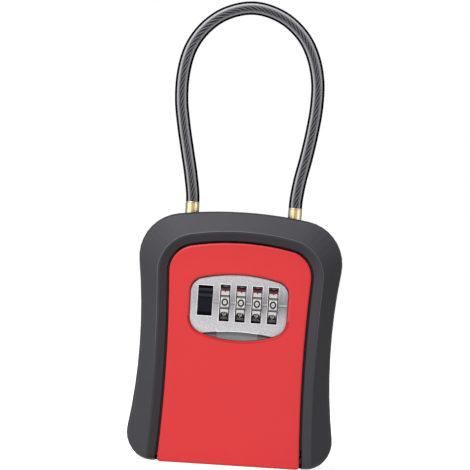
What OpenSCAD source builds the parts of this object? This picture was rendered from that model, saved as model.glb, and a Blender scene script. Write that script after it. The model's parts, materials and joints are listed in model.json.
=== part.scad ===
// Combination key safe: a hand-sized box with a drop-down door, a four-dial
// lock in the door and a removable cable shackle.
// X is to the right, Y runs from the front to the back, Z is up. The origin is
// below the middle of the housing, on the surface that it stands on.

/* [Housing] */
// Height of the housing at the middle of its crown
case_h = 115.9; // [112:0.1:122]
// Depth of the housing, from the front ridge to the back
case_d = 40; // [38:0.5:50]
// Width across the rounded shoulders
shoulder_w = 93.6; // [90:0.1:100]
// Width at the drawn-in waist
waist_w = 88; // [85:0.1:89]
// Width across the feet
foot_w = 94.7; // [91:0.1:100]
// Radius of the crown
crown_r = 192; // [150:1:260]
// Radius of the shoulder corners
shoulder_r = 20; // [17:0.5:24]
// Radius of the foot corners
foot_r = 12.5; // [9:0.5:15]
// Thickness of the outer skin
skin_t = 3.2; // [2.4:0.1:3.6]
// Thickness of the walls of the key compartment
inner_wall_t = 2.8; // [2:0.1:3.2]
// Thickness of the compartment's back wall
back_wall_t = 3; // [2.5:0.1:4]
// Thickness of the compartment's floor
floor_t = 3; // [2.4:0.1:4]
// Thickness of the plate that closes the back
back_cover_t = 2; // [1.5:0.1:3]

/* [Front frame] */
// Distance of the ridge from the door's edge
ridge_offset = 5.2; // [4:0.1:6]
// Width of the chamfer inside the ridge
chamfer_w = 4; // [3:0.1:4.1]
// Depth of that chamfer
chamfer_d = 2.5; // [1.5:0.1:3]
// Depth of the quick turn at the frame's outer edge
edge_turn_d = 5; // [3:0.1:6]
// Depth of the slope between that turn and the ridge
frame_slope_d = 8; // [6:0.1:9]

/* [Door] */
// Width of the door at its shoulders and foot
door_w = 65; // [62:0.1:66]
// Width of the door at its waist
door_waist_w = 62.3; // [60:0.1:62.5]
// Height of the door's top edge
door_top = 101.6; // [100.5:0.1:102.5]
// Radius of the door's crown
door_crown_r = 113; // [95:1:140]
// Radius of the door's shoulder corners
door_shoulder_r = 12; // [10:0.5:14]
// Radius of the door's foot corners
door_foot_r = 1.5; // [1:0.1:3]
// Thickness of the door panel
door_t = 3; // [2.8:0.1:3.6]
// Gap between the door and the frame
door_gap = 1.1; // [0.8:0.1:1.4]
// Set-back of the door's face from the ridge
door_setback = 2; // [1.5:0.1:2.5]

/* [Hinge] */
// Radius of the hinge barrels
barrel_r = 4.4; // [4:0.1:4.5]
// Length of each hinge pin inside the barrel
pin_in_barrel = 14; // [8:0.5:20]
// Radius of the hinge pins
pin_r = 1.5; // [1.2:0.1:2]
// Depth of each pin's socket in the housing
pin_socket = 5; // [3:0.5:6]
// Running clearance of pins and shafts, on the radius
running_gap = 0.05; // [0.03:0.01:0.08]

/* [Escutcheon] */
// Sideways place of the escutcheon's middle
plate_x = 0.25; // [0.1:0.05:0.4]
// Width of the escutcheon at its upper corners
plate_top_w = 44.9; // [44:0.1:46]
// Width of the escutcheon at its lower corners
plate_low_w = 44.4; // [43.5:0.1:45.5]
// Radius of its upper corners
plate_top_r = 6.5; // [5:0.1:8]
// Radius of its lower corners
plate_low_r = 8; // [6.5:0.1:9]
// Height of its upper edge above the dials' axis
plate_up = 12.7; // [12.4:0.1:13.4]
// Depth of its lower edge below the dials' axis
plate_down = 17.3; // [16.5:0.1:18]
// Radius of its upper edge
plate_top_crown_r = 72.4; // [60:0.1:90]
// Radius of its lower edge
plate_low_crown_r = 50.7; // [45:0.1:60]
// Set-back of its face from the door's face
plate_setback = 1.2; // [0.8:0.1:1.4]
// Thickness of the mounting flange behind it
flange_t = 1.2; // [1:0.1:1.4]
// Radius of the upper edge of the finger scoop
scoop_r = 91.5; // [80:0.5:110]
// Depth of the scoop's upper edge below the dials' axis
scoop_down = 13.2; // [13:0.1:14]
// Depth of the finger scoop
scoop_d = 1; // [0.6:0.1:1.4]

/* [Dials] */
// Height of the dials' axis
dial_z = 74.5; // [74:0.1:75]
// Sideways place of the middle of the row of dials
dial_row_x = 4.7; // [4.4:0.1:5]
// Spacing of the dials
dial_pitch = 7.33; // [7.3:0.01:7.45]
// Distance across the flats of a dial, halved
dial_flat_r = 9.2; // [9:0.05:9.3]
// Radius over the rounded edges of a dial
dial_r = 9.4; // [9.3:0.05:9.45]
// Width of a dial
dial_w = 4.2; // [4:0.05:4.3]
// How far a dial stands out of the door's face
dial_proud = 0.6; // [0.4:0.05:0.8]
// Width of a dial's window
window_w = 4.6; // [4.5:0.05:4.8]
// Upper end of a dial's window above the dials' axis
window_up = 7.95; // [7.7:0.05:8.5]
// Lower end of a dial's window below the dials' axis
window_down = 8.9; // [8.7:0.05:9.2]
// Numbers on a dial
dial_numbers = 10; // [10:10:10]
// Sideways travel for setting a new code
code_travel = 1.5; // [1.4:0.05:1.6]

/* [Button] */
// Sideways place of the button
button_x = -15.25; // [-15.6:0.05:-15.2]
// Width of the button's slot
slot_w = 6.8; // [6.6:0.1:6.9]
// Lower end of the slot below the dials' axis
slot_down = 6.7; // [6.4:0.1:7]
// Upper end of the slot above the dials' axis
slot_up = 7.1; // [6.9:0.1:7.4]
// Travel of the button upwards, to where the door is locked
lock_travel = 1.2; // [1:0.1:1.3]
// Travel of the button downwards, to its lower stop
press_travel = 1.7; // [1.5:0.1:1.7]

/* [Shackle] */
// Distance between the two ends of the shackle
shackle_w = 48; // [46:0.1:49]
// Diameter of the coated cable
cable_d = 6.3; // [6:0.1:6.5]
// Diameter of the ferrules
ferrule_d = 6.5; // [6.4:0.1:6.8]
// Height of the ferrules' ends above the housing's crown
ferrule_proud = 3.6; // [2.6:0.1:3.6]
// Clearance of the ferrules in their bores, on the radius
ferrule_gap = 0.1; // [0.06:0.01:0.1]
// Travel of the slide that holds the ferrules
catch_travel = 3; // [2.6:0.1:3.2]

/* [Wall mounting] */
// Sideways spacing of the wall screws
wall_screw_dx = 38; // [30:1:44]
// Upright spacing of the wall screws
wall_screw_dz = 56; // [40:1:60]
// Height of the middle of the wall screw pattern
wall_screw_z = 50; // [46:1:54]
// Diameter of the wall screw holes
wall_screw_d = 5; // [4:0.1:6]

/* [Hidden] */
$fn = 48;

// Colours
case_grey = [0.26, 0.26, 0.28];
door_red = [0.86, 0.26, 0.26];
lock_silver = [0.75, 0.75, 0.76];
steel = [0.62, 0.63, 0.65];
zinc = [0.55, 0.56, 0.58];
brass = [0.8, 0.64, 0.32];
black = [0.07, 0.07, 0.08];
cable_grey = [0.25, 0.25, 0.27];

// General clearances and steps
seat_gap = 0.2;
loose_gap = 0.5;
slide_gap = 0.1;
move_gap = 0.3;
spring_gap = 0.05;
through = 1;
fuse = 0.1;
uncut = -10;

// Depths, from the front to the back
front_y = -case_d / 2;
back_y = case_d / 2;
door_front = front_y + door_setback;
door_back = door_front + door_t;
ledge_y = door_back + loose_gap;
widest_y = front_y + edge_turn_d + frame_slope_d;
back_wall_y = back_y - back_cover_t - back_wall_t;
plate_front = door_front + plate_setback;
chassis_front = door_back + flange_t;
dial_y = door_front - dial_proud + dial_flat_r;
core_setback = 17;
core_front = front_y + core_setback;

// Door and compartment outlines
compartment_inset = 2;
door_foot_z = 0.2;
ridge_base = 1.6;

// Hinge
hinge_z = barrel_r + slide_gap;
hinge_y = door_front + hinge_z;
hinge_trough_room = 1.6;
hinge_trough_y = hinge_y + barrel_r + loose_gap;
hinge_trough_z = hinge_z + barrel_r + hinge_trough_room;
barrel_end = door_w / 2 - door_foot_r - loose_gap;
hinge_wall = door_w / 2 + door_gap;

// Lock chassis
chassis_t = 1.6;
room_beside_button = 1.05;
room_beside_dials = 6.6;
room_below_axis = 14.9;
room_above_axis = 16.4;
chassis_in_left = button_x - slot_w / 2 - room_beside_button;
last_dial_x = dial_row_x + 1.5 * dial_pitch;
first_dial_x = dial_row_x - 1.5 * dial_pitch;
chassis_in_right = last_dial_x + dial_w / 2 + room_beside_dials;
chassis_in_low = dial_z - room_below_axis;
chassis_in_top = dial_z + room_above_axis;
chassis_left = chassis_in_left - chassis_t;
chassis_right = chassis_in_right + chassis_t;
chassis_low = chassis_in_low - chassis_t;
chassis_top = chassis_in_top + chassis_t;

// Latch plate, lever plate and cover lie one behind the other
latch_front = dial_y + dial_r + loose_gap;
latch_t = 1.2;
lever_front = latch_front + latch_t + seat_gap;
lever_t = 1;
cover_front = lever_front + lever_t + slide_gap;
cover_t = 1.5;
cover_back = cover_front + cover_t;

// Code wheels inside the dials
spindle_r = 2;
neck_r = 2.9;
cam_r = 4.6;
gate_w = 3;
cam_t = 0.9;
cam_start = 0.3;
wheel_t = 1.3;
dial_bore_r = 6;
wheel_gap = 0.08;
wheel_r = dial_bore_r - wheel_gap;
lug_w = 1.3;
notch_w = 1.7;
dial_deep_r = 7.1;
dial_notch_r = 7;
lug_r = 6.85;
wheel_start = 0.1;
dial_step = wheel_start + wheel_t + slide_gap;
collar_r = 3.2;
divider_left = button_x + slot_w / 2 + spring_gap;
divider_t = 0.7;
arm_left = divider_left + divider_t + slide_gap;
arm_t = 0.8;
arm_half = 1.5;

// Latch and strike
strike_bite = 0.2;
strike_lip = 3.2;
hook_x = 12;
hook_w = 5;
hook_setback = 3.7;
hook_y = ledge_y + hook_setback;
hook_t = 1.8;
strike_top = door_top - compartment_inset + strike_bite;
strike_low = strike_top - strike_lip;
hook_tip = strike_low - move_gap;
shelf_room = 1.5;
shelf_z = chassis_in_top - lock_travel - latch_t - shelf_room;
latch_down = 4.5;
latch_low = dial_z - latch_down;
tooth_w = 2.4;
tooth_t = 0.8;
tooth_gap = 0.25;
tooth_tip = dial_z + cam_r + tooth_gap;

// Shackle catch: it lies between the rims of its tray, below the housing's ceiling
ferrule_r = ferrule_d / 2;
ferrule_x = shackle_w / 2;
ferrule_top = case_h + ferrule_proud;
catch_edge = 0.95;
catch_half_w = ferrule_r + catch_edge;
rim_w = 3.3;
shackle_y = back_wall_y - rim_w - loose_gap - catch_half_w;
bay_roof = 0.6;
bay_top = door_top - compartment_inset - bay_roof;
bay_h = 12;
bay_depth = 7.8;
bay_front = shackle_y - bay_depth;
bay_past_ferrule = 5.7;
bay_half = ferrule_x + bay_past_ferrule;
groove_w = 2;
groove_low = bay_top - groove_w;
groove_r = 2;
ferrule_end = 3.5;
ferrule_low = groove_low - ferrule_end;
catch_t = 1.4;
catch_low = groove_low + move_gap;
tray_t = 1.2;
tray_top = groove_low;
tray_screw_len = 6;
tray_bore_gap = 0.3;

strike_t = 1.2;
strike_w = 36;
strike_pocket_h = 6;
strike_y = hook_y - move_gap - strike_t;
strike_back = bay_front - strike_t;

// Screws
screw_r = 1.1;
screw_head_r = 2;
screw_head_t = 1.2;
screw_slot_w = 0.6;
screw_clear = 0.15;

// Least radius that a corner of an outline keeps when the outline is drawn in
least_corner_r = 0.3;

// Round stretches of the outlines, in steps
foot_steps = 8;
side_steps = 8;
shoulder_steps = 9;
crown_steps = 5;

// Points of an arc after its first point, from angle a0 to a1
function arc(c, r, a0, a1, steps) =
    [for (i = [1:steps]) let (a = a0 + (a1 - a0) * i / steps) c + r * [cos(a), sin(a)]];

// Height at which the waist's circle, which touches both corners, has its centre
function waist_z(zs, zf, a, b, rs, rf) =
    let (p = rf - b, q = rs - a)
    let (k2 = p - q, k1 = -2 * (p * zs - q * zf))
    let (k0 = p * (zs * zs + a * a - rs * rs) - q * (zf * zf + b * b - rf * rf))
    2 * k0 / (-k1 + sqrt(k1 * k1 - 4 * k2 * k0));

// Right half of a waisted outline, from the bottom to the top: two corners, a
// waist between them and a crown, all tangent. It is grown by grow and cut at base.
function half_outline(h, rc, ws, rs, ww, wf, rf, grow, base, z0 = 0) =
    let (xs = ws - rs, zs = h - rc + sqrt(pow(rc - rs, 2) - pow(ws - rs, 2)))
    let (xf = wf - rf, zf = z0 + rf)
    let (zc = waist_z(zs, zf, ww - xs, ww - xf, rs, rf))
    let (r = (pow(zs - zc, 2) + pow(ww - xs, 2) - rs * rs) / (2 * (rs - ww + xs)))
    let (c = [ww + r, zc], af = atan2(zc - zf, ww + r - xf), as = atan2(zc - zs, ww + r - xs))
    let (ac = atan2(zs - h + rc, xs))
    let (rg = max(rf + grow, least_corner_r), cg = [xf, zf] + (rg - rf - grow) * [-1, 1])
    let (a0 = asin(max(-1, min(1, (base - cg[1]) / rg))))
    concat(
        [cg + rg * [cos(a0), sin(a0)]],
        arc(cg, rg, a0, af, foot_steps),
        arc(c, r - grow, 180 + af, 180 + as, side_steps),
        arc([xs, zs], rs + grow, as, ac, shoulder_steps),
        arc([0, h - rc], rc + grow, ac, 90, crown_steps));

// A right half and its mirror image as one outline; points in the middle aren't doubled
function both_halves(half) =
    concat(half, [for (i = [len(half) - 2:-1:0]) if (half[i][0] > 0) [-half[i][0], half[i][1]]]);

function case_outline(grow, base) = both_halves(half_outline(
    case_h, crown_r, shoulder_w / 2, shoulder_r, waist_w / 2, foot_w / 2, foot_r, grow, base));

function door_outline(grow, base) = both_halves(half_outline(
    door_top, door_crown_r, door_w / 2, door_shoulder_r, door_waist_w / 2, door_w / 2,
    door_foot_r, grow, base, door_foot_z));

// Outline of the escutcheon, grown by grow
function plate_outline(grow) =
    let (xt = plate_top_w / 2 - plate_top_r, xl = plate_low_w / 2 - plate_low_r)
    let (ct = dial_z + plate_up - plate_top_crown_r, cl = dial_z - plate_down + plate_low_crown_r)
    let (zt = ct + sqrt(pow(plate_top_crown_r - plate_top_r, 2) - xt * xt))
    let (zl = cl - sqrt(pow(plate_low_crown_r - plate_low_r, 2) - xl * xl))
    let (d = [xl - xt, zl - zt])
    let (side = atan2(d[1], d[0]) + acos((plate_top_r - plate_low_r) / norm(d)))
    let (al = atan2(zl - cl, xl), at = atan2(zt - ct, xt))
    let (outline = both_halves(concat(
        [[0, cl - plate_low_crown_r - grow]],
        arc([0, cl], plate_low_crown_r + grow, -90, al, crown_steps),
        arc([xl, zl], plate_low_r + grow, al, side, foot_steps),
        arc([xt, zt], plate_top_r + grow, side, at, foot_steps),
        arc([0, ct], plate_top_crown_r + grow, at, 90, crown_steps))))
    [for (p = outline) [p[0] + plate_x, p[1]]];

// An outline in X and Z placed at one depth
function at_depth(outline, y) = [for (p = outline) [p[0], y, p[1]]];

function unit(v) = v / norm(v);

// A skin through closed rings of equally many points, from the back to the front
module loft(rings) {
    n = len(rings[0]);
    last = len(rings) - 1;
    sides = [for (i = [0:last - 1]) for (j = [0:n - 1])
        let (a = i * n + j, b = i * n + (j + 1) % n)
        each [[a, b + n, b], [a, a + n, b + n]]];
    first_cap = [for (j = [0:n - 1]) j];
    last_cap = [for (j = [n - 1:-1:0]) last * n + j];
    polyhedron([for (ring = rings) each ring], concat([first_cap], sides, [last_cap]));
}

// A round tube along a path; aside is a direction that the path never takes
module tube(path, r, sides, aside, end_turn = [[0, 0, 0], [0, 0, 0]]) {
    last = len(path) - 1;
    turns = [for (i = [0:last])
        i == 0 && norm(end_turn[0]) > 0 ? end_turn[0] :
        i == last && norm(end_turn[1]) > 0 ? end_turn[1] :
        unit(path[min(i + 1, last)] - path[max(i - 1, 0)])];
    loft([for (i = [0:last])
        let (u = unit(cross(turns[i], aside)), w = cross(turns[i], u))
        [for (k = [0:sides - 1]) let (a = -360 * k / sides) path[i] + r * (cos(a) * u + sin(a) * w)]]);
}

// A flat shape in X and Z, made solid from y0 to y1
module slab(y0, y1) {
    translate([0, y1, 0]) rotate([90, 0, 0]) linear_extrude(y1 - y0) children();
}

// A flat shape in Y and Z, made solid from x0 to x1
module side_slab(x0, x1) {
    translate([x0, 0, 0]) rotate([90, 0, 90]) linear_extrude(x1 - x0) children();
}

// What lies between two depths; it gives a loft flat ends
module between(y0, y1) {
    intersection() {
        children();
        box([-case_h, y0, -through], [case_h, y1, case_h + through]);
    }
}

module box(low, high) {
    translate(low) cube(high - low);
}

// Round bars along each axis
module bar_x(x0, x1, y, z, r) {
    translate([x0, y, z]) rotate([0, 90, 0]) cylinder(h = x1 - x0, r = r);
}

module bar_y(y0, y1, x, z, r) {
    translate([x, y1, z]) rotate([90, 0, 0]) cylinder(h = y1 - y0, r = r);
}

module bar_z(z0, z1, x, y, r) {
    translate([x, y, z0]) cylinder(h = z1 - z0, r = r);
}

// A slotted screw with its head at the origin, pointing up
module screw(length) {
    difference() {
        union() {
            translate([0, 0, -screw_head_t]) cylinder(h = screw_head_t, r = screw_head_r);
            cylinder(h = length, r = screw_r);
        }
        translate([-screw_head_r, -screw_slot_w / 2, -screw_head_t - through])
            cube([2 * screw_head_r, screw_slot_w, through + screw_head_t / 2]);
    }
}

// Points of a helix about Z, from z0 up to z1
function helix(r, z0, z1, turns) =
    [for (i = [0:turns * coil_steps]) let (a = 360 * i / coil_steps)
        [r * cos(a), r * sin(a), z0 + (z1 - z0) * i / (turns * coil_steps)]];
coil_steps = 10;
wire_sides = 6;

// A coil spring that stands on z0 and reaches z1
module coil(r, wire_r, z0, z1, turns) {
    tube(helix(r, z0 + wire_r, z1 - wire_r, turns), wire_r, wire_sides, [0, 0, 1]);
}

// Housing: rings of the outer form, as depth and inset, with a soft edge at the back
back_edge = 0.8;
back_rings = [[back_y + back_edge / 2, 1.5 * back_edge], [back_y - back_edge / 2, back_edge / 2],
    [back_y - 1.5 * back_edge, 0], [widest_y, 0]];
turn_share = 0.13;
frame_shares = [0.01, 0.04, 0.08, 0.13, 0.3, 0.5, 0.7, 0.88, 1];

function edge_turn(t) = sqrt(1 - pow(1 - min(t / turn_share, 1), 2));

function frame_ring(t) =
    let (outer = case_outline(0, 0), inner = door_outline(ridge_offset, ridge_base))
    let (y = widest_y - edge_turn_d * edge_turn(t) - frame_slope_d * t)
    [for (i = [0:len(outer) - 1]) let (p = outer[i] * (1 - t) + inner[i] * t) [p[0], y, p[1]]];

ridge_round = 0.4;
chamfer_end = ridge_offset - chamfer_w;
inner_grow = chamfer_end - 1.6;
inner_y = front_y + chamfer_d * (ridge_offset - inner_grow) / chamfer_w;

module outer_form() {
    between(front_y - through, back_y) loft(concat(
        [for (r = back_rings) at_depth(case_outline(-r[1], uncut), r[0])],
        [for (t = frame_shares) frame_ring(t)],
        [at_depth(door_outline(ridge_offset - 2 * ridge_round, ridge_base), front_y + 0.1),
            at_depth(door_outline(inner_grow, ridge_base), inner_y)]));
}

// The door's opening runs out through the bottom of the housing
module recess_2d() {
    polygon(door_outline(door_gap, door_foot_z));
    translate([-hinge_wall, -through]) square([2 * hinge_wall, through + hinge_z]);
}

module compartment_2d(grow = 0) {
    intersection() {
        polygon(door_outline(grow - compartment_inset, uncut));
        translate([-case_h, floor_t - grow]) square([2 * case_h, case_h]);
    }
}

// Hollows cored into the housing from behind, beside and above the compartment
side_core_drop = 15;
top_core_rise = 7;
side_core_top = bay_top - side_core_drop;
top_core_low = bay_top + top_core_rise;
top_core_w = 32;

module rear_cores() {
    slab(core_front, back_y + through) difference() {
        polygon(case_outline(-skin_t, skin_t));
        translate([-hinge_wall, -through]) square([2 * hinge_wall, 3 * floor_t]);
        polygon(door_outline(inner_wall_t - compartment_inset, uncut));
        translate([-case_h, side_core_top]) square([2 * case_h, case_h]);
        for (p = back_screw_places) translate(p) circle(r = boss_r);
    }
    slab(core_front, back_y + through) intersection() {
        polygon(case_outline(-skin_t, skin_t));
        translate([-top_core_w / 2, top_core_low]) square([top_core_w, case_h]);
    }
}

boss_r = 3.4;
back_screw_in = [8.85, 7];
back_screw_z = [14, 78];
back_screw_places = [for (i = [-1, 1]) each [[i * (foot_w / 2 - back_screw_in[0]), back_screw_z[0]],
    [i * (waist_w / 2 - back_screw_in[1]), back_screw_z[1]]]];
wall_screw_places = [for (i = [-1, 1]) for (k = [-1, 1])
    [i * wall_screw_dx / 2, wall_screw_z + k * wall_screw_dz / 2]];
strike_screw_x = 7;
strike_screw_in = 3;
strike_screw_y = strike_back - strike_screw_in;
tray_screw_x = 14;
tray_screw_in = [1.7, 2.3];
tray_screw_places = [for (i = [-1, 1])
    for (y = [bay_front + tray_screw_in[0], back_wall_y - tray_screw_in[1]]) [i * tray_screw_x, y]];
back_cover_inset = 2.5;
back_screw_len = 7;
ceiling_screw_len = 5;

module housing() color(case_grey) difference() {
    outer_form();
    slab(front_y - through, ledge_y) recess_2d();
    box([-hinge_wall, ledge_y - through, -through], [hinge_wall, hinge_trough_y, hinge_trough_z]);
    slab(ledge_y - through, back_wall_y) compartment_2d();
    box([-strike_w / 2 - seat_gap, ledge_y - through, strike_top - strike_pocket_h],
        [strike_w / 2 + seat_gap, strike_back + seat_gap, strike_top]);
    box([-bay_half, bay_front, bay_top - bay_h], [bay_half, back_wall_y, bay_top]);
    rear_cores();
    slab(back_y - back_cover_t, back_y + through)
        polygon(case_outline(-back_cover_inset, back_cover_inset));
    for (side = [-1, 1]) {
        bar_x(min(side * hinge_wall, side * (hinge_wall + pin_socket)),
            max(side * hinge_wall, side * (hinge_wall + pin_socket)), hinge_y, hinge_z, pin_r);
        bar_z(bay_top - through, case_h, side * ferrule_x, shackle_y, ferrule_r + ferrule_gap);
        bar_z(strike_top - through, strike_top - strike_t + ceiling_screw_len,
            side * strike_screw_x, strike_screw_y, screw_r);
    }
    for (p = tray_screw_places)
        bar_z(bay_top - through, tray_top - tray_t + tray_screw_len, p[0], p[1], screw_r);
    for (p = back_screw_places)
        bar_y(back_y - screw_head_t - back_screw_len, back_y, p[0], p[1], screw_r);
    for (p = wall_screw_places) bar_y(back_wall_y - through, back_y, p[0], p[1], wall_screw_d / 2);
}

module back_cover() color(case_grey) difference() {
    slab(back_y - back_cover_t, back_y)
        polygon(case_outline(-back_cover_inset - seat_gap, back_cover_inset + seat_gap));
    for (p = back_screw_places) {
        bar_y(back_y - back_cover_t - through, back_y + through, p[0], p[1], screw_r + screw_clear);
        bar_y(back_y - screw_head_t, back_y + through, p[0], p[1], screw_head_r + screw_clear);
    }
    for (p = wall_screw_places)
        bar_y(back_y - back_cover_t - through, back_y + through, p[0], p[1], wall_screw_d / 2);
}

module back_cover_screws() color(steel)
    for (p = back_screw_places)
        translate([p[0], back_y - screw_head_t, p[1]]) rotate([90, 0, 0]) screw(back_screw_len);

module hinge_pins() color(steel)
    for (side = [-1, 1]) {
        inner = barrel_end - pin_in_barrel;
        outer = hinge_wall + pin_socket;
        bar_x(side > 0 ? inner : -outer, side > 0 ? outer : -inner, hinge_y, hinge_z, pin_r);
    }

// Strike: an angle plate below the compartment's ceiling, with its lip in front of the hooks
module strike_plate() color(steel) difference() {
    union() {
        box([-strike_w / 2, strike_y, strike_low], [strike_w / 2, strike_y + strike_t, strike_top]);
        box([-strike_w / 2, strike_y, strike_top - strike_t], [strike_w / 2, strike_back, strike_top]);
    }
    for (side = [-1, 1])
        bar_z(strike_low, strike_top + through, side * strike_screw_x, strike_screw_y, screw_r + screw_clear);
}

module strike_screws() color(steel)
    for (side = [-1, 1])
        translate([side * strike_screw_x, strike_screw_y, strike_top - strike_t]) screw(ceiling_screw_len);

// Shackle catch: a slide with two keyholes that lies on a tray below the ceiling
catch_past_left = 4.4;
catch_past_right = 2.6;
catch_left = -ferrule_x - catch_past_left;
catch_right = ferrule_x + catch_past_right;
catch_window = [-17.6, -3.9];
catch_window_half = 1.2;
catch_bore_gap = 0.15;
spring_stop_x = -14.2;
spring_stop_t = 1.1;
spring_stop_half = 0.9;
catch_coil_r = 0.7;
catch_wire_r = 0.22;
catch_turns = 7;
catch_tab_w = 8;
catch_tab_t = 3;
catch_tab_low = chassis_top + loose_gap;
tray_half = bay_half - move_gap;

module keyhole_2d(x, travel, r) {
    translate([x, shackle_y]) circle(r = r);
    grip_r = groove_r + catch_bore_gap;
    translate([x - travel, shackle_y - grip_r]) square([travel, 2 * grip_r]);
    translate([x - travel, shackle_y]) circle(r = grip_r);
}

module shackle_catch() color(steel) {
    translate([0, 0, catch_low]) linear_extrude(catch_t) difference() {
        translate([catch_left, shackle_y - catch_half_w])
            square([catch_right - catch_left, 2 * catch_half_w]);
        for (side = [-1, 1]) keyhole_2d(side * ferrule_x, catch_travel, ferrule_r + seat_gap);
        translate([catch_window[0], shackle_y - catch_window_half])
            square([catch_window[1] - catch_window[0], 2 * catch_window_half]);
    }
    box([-catch_tab_w / 2, shackle_y - catch_tab_t / 2, catch_tab_low],
        [catch_tab_w / 2, shackle_y + catch_tab_t / 2, catch_low + catch_t / 2]);
}

module shackle_cover() color(zinc) difference() {
    union() {
        box([-tray_half, bay_front + seat_gap, tray_top - tray_t],
            [tray_half, back_wall_y - seat_gap, tray_top]);
        box([-tray_half, bay_front + seat_gap, tray_top - tray_t],
            [tray_half, bay_front + rim_w, bay_top]);
        box([-tray_half, back_wall_y - rim_w, tray_top - tray_t],
            [tray_half, back_wall_y - seat_gap, bay_top]);
        box([spring_stop_x, shackle_y - spring_stop_half, tray_top - tray_t],
            [spring_stop_x + spring_stop_t, shackle_y + spring_stop_half, bay_top - slide_gap]);
    }
    for (side = [-1, 1])
        bar_z(tray_top - 2 * tray_t, bay_top, side * ferrule_x, shackle_y, ferrule_r + tray_bore_gap);
    box([-catch_tab_w / 2 - move_gap, shackle_y - catch_tab_t / 2 - move_gap, tray_top - 2 * tray_t],
        [catch_tab_w / 2 + catch_travel + move_gap, shackle_y + catch_tab_t / 2 + move_gap, bay_top]);
    for (p = tray_screw_places)
        bar_z(tray_top - 2 * tray_t, bay_top + through, p[0], p[1], screw_r + screw_clear);
}

module shackle_cover_screws() color(steel)
    for (p = tray_screw_places) translate([p[0], p[1], tray_top - tray_t]) screw(tray_screw_len);

module catch_spring() color(steel)
    translate([spring_stop_x + spring_stop_t, shackle_y, catch_low + catch_t / 2]) rotate([0, 90, 0])
        coil(catch_coil_r, catch_wire_r, spring_gap,
            catch_window[1] - spring_stop_x - spring_stop_t - spring_gap, catch_turns);

// Shackle: the cable's middle line between the ferrules, as sideways place and height above them
cable_line = [[-25.5, 11.5], [-28, 23.5], [-30.5, 35.5], [-32.3, 47.5], [-32.2, 59.5], [-29.9, 70.5],
    [-24.9, 79.5], [-17.6, 86.5], [-9.3, 90.5], [-1, 91.9], [7.3, 90.5], [15.6, 86.5], [23, 79.5],
    [27.9, 70.5], [30.6, 59.5], [30.8, 47.5], [29.5, 35.5], [27.5, 23.5], [25.1, 11.5]];
cable_sides = 12;

module cable() color(cable_grey)
    tube([for (p = concat([[-ferrule_x, 0]], cable_line, [[ferrule_x, 0]]))
            [p[0], shackle_y, ferrule_top + p[1]]],
        cable_d / 2, cable_sides, [0, 1, 0], [[0, 0, 1], [0, 0, -1]]);

module ferrule(x) color(brass) difference() {
    bar_z(ferrule_low, ferrule_top, x, shackle_y, ferrule_r);
    difference() {
        bar_z(groove_low, bay_top, x, shackle_y, ferrule_r + through);
        bar_z(groove_low - through, bay_top + through, x, shackle_y, groove_r);
    }
}

module ferrule_left() ferrule(-ferrule_x);
module ferrule_right() ferrule(ferrule_x);

// Door
edge_r = 0.8;
rim_inset = 2.8;
rim_t = 1.4;
rim_d = 2.2;
rim_low = 14;
plate_gap = 0.1;

module door_body() {
    between(door_front, door_back) loft([at_depth(door_outline(0, door_foot_z), door_back + through),
        at_depth(door_outline(0, door_foot_z), door_front + edge_r),
        at_depth(door_outline(-0.3 * edge_r, door_foot_z + 0.3 * edge_r), door_front + 0.3 * edge_r),
        at_depth(door_outline(-edge_r, door_foot_z + edge_r), door_front),
        at_depth(door_outline(-edge_r, door_foot_z + edge_r), door_front - through)]);
}

// The opening for the escutcheon, flared towards the front
flare_r = 1.1;
flare_rings = [[door_t + through, 0], [flare_r, 0], [0.5 * flare_r, 0.13], [0.13 * flare_r, 0.5], [0, 1],
    [-through, 1.2]];

module plate_opening() {
    loft([for (r = flare_rings) at_depth(plate_outline(plate_gap + r[1] * flare_r), door_front + r[0])]);
}

module door_rim() {
    slab(door_back - fuse, door_back + rim_d) intersection() {
        difference() {
            polygon(door_outline(-rim_inset, uncut));
            polygon(door_outline(-rim_inset - rim_t, uncut));
        }
        translate([-case_h, rim_low]) square([2 * case_h, case_h]);
    }
}

lock_screw_in = 2.2;
lock_screw_places = [for (x = [chassis_in_left + lock_screw_in, chassis_in_right - lock_screw_in])
    for (z = [chassis_in_low + lock_screw_in, chassis_in_top - lock_screw_in]) [x, z]];
lock_screw_bite = 1.2;

module door_panel() color(door_red) difference() {
    union() {
        door_body();
        door_rim();
        bar_x(-barrel_end, barrel_end, hinge_y, hinge_z, barrel_r);
    }
    plate_opening();
    bar_x(-case_h, case_h, hinge_y, hinge_z, pin_r + running_gap);
    for (p = lock_screw_places)
        bar_y(door_back - lock_screw_bite, door_back + through, p[0], p[1], screw_r);
}

scoop_steps = 200;
cam_relief = 0.4;

module scoop_2d() {
    translate([plate_x, dial_z - scoop_down - scoop_r])
        intersection() {
            circle(r = scoop_r, $fn = scoop_steps);
            translate([-plate_top_w, scoop_r - plate_down]) square([2 * plate_top_w, 2 * plate_down]);
        }
}

module escutcheon() color(lock_silver) difference() {
    union() {
        slab(plate_front, door_back + fuse) polygon(plate_outline(0));
        box([chassis_left, door_back, chassis_low], [chassis_right, chassis_front, chassis_top]);
    }
    for (i = [0:3]) {
        box([dial_x(i) - window_w / 2, plate_front - through, dial_z - window_down],
            [dial_x(i) + window_w / 2, chassis_front + through, dial_z + window_up]);
        bar_x(dial_x(i) - window_w / 2, dial_x(i) + window_w / 2, dial_y, dial_z, dial_r + seat_gap);
    }
    box([button_x - slot_w / 2, plate_front - through, dial_z - slot_down],
        [button_x + slot_w / 2, chassis_front + through, dial_z + slot_up]);
    slab(plate_front - through, plate_front + scoop_d) scoop_2d();
    bar_x(arm_left, chassis_in_right, dial_y, dial_z, cam_r + cam_relief);
    for (p = lock_screw_places) {
        bar_y(door_back, chassis_front + through, p[0], p[1], screw_r + screw_clear);
        bar_y(door_back - lock_screw_bite, chassis_front, p[0], p[1], screw_r);
    }
}

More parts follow.
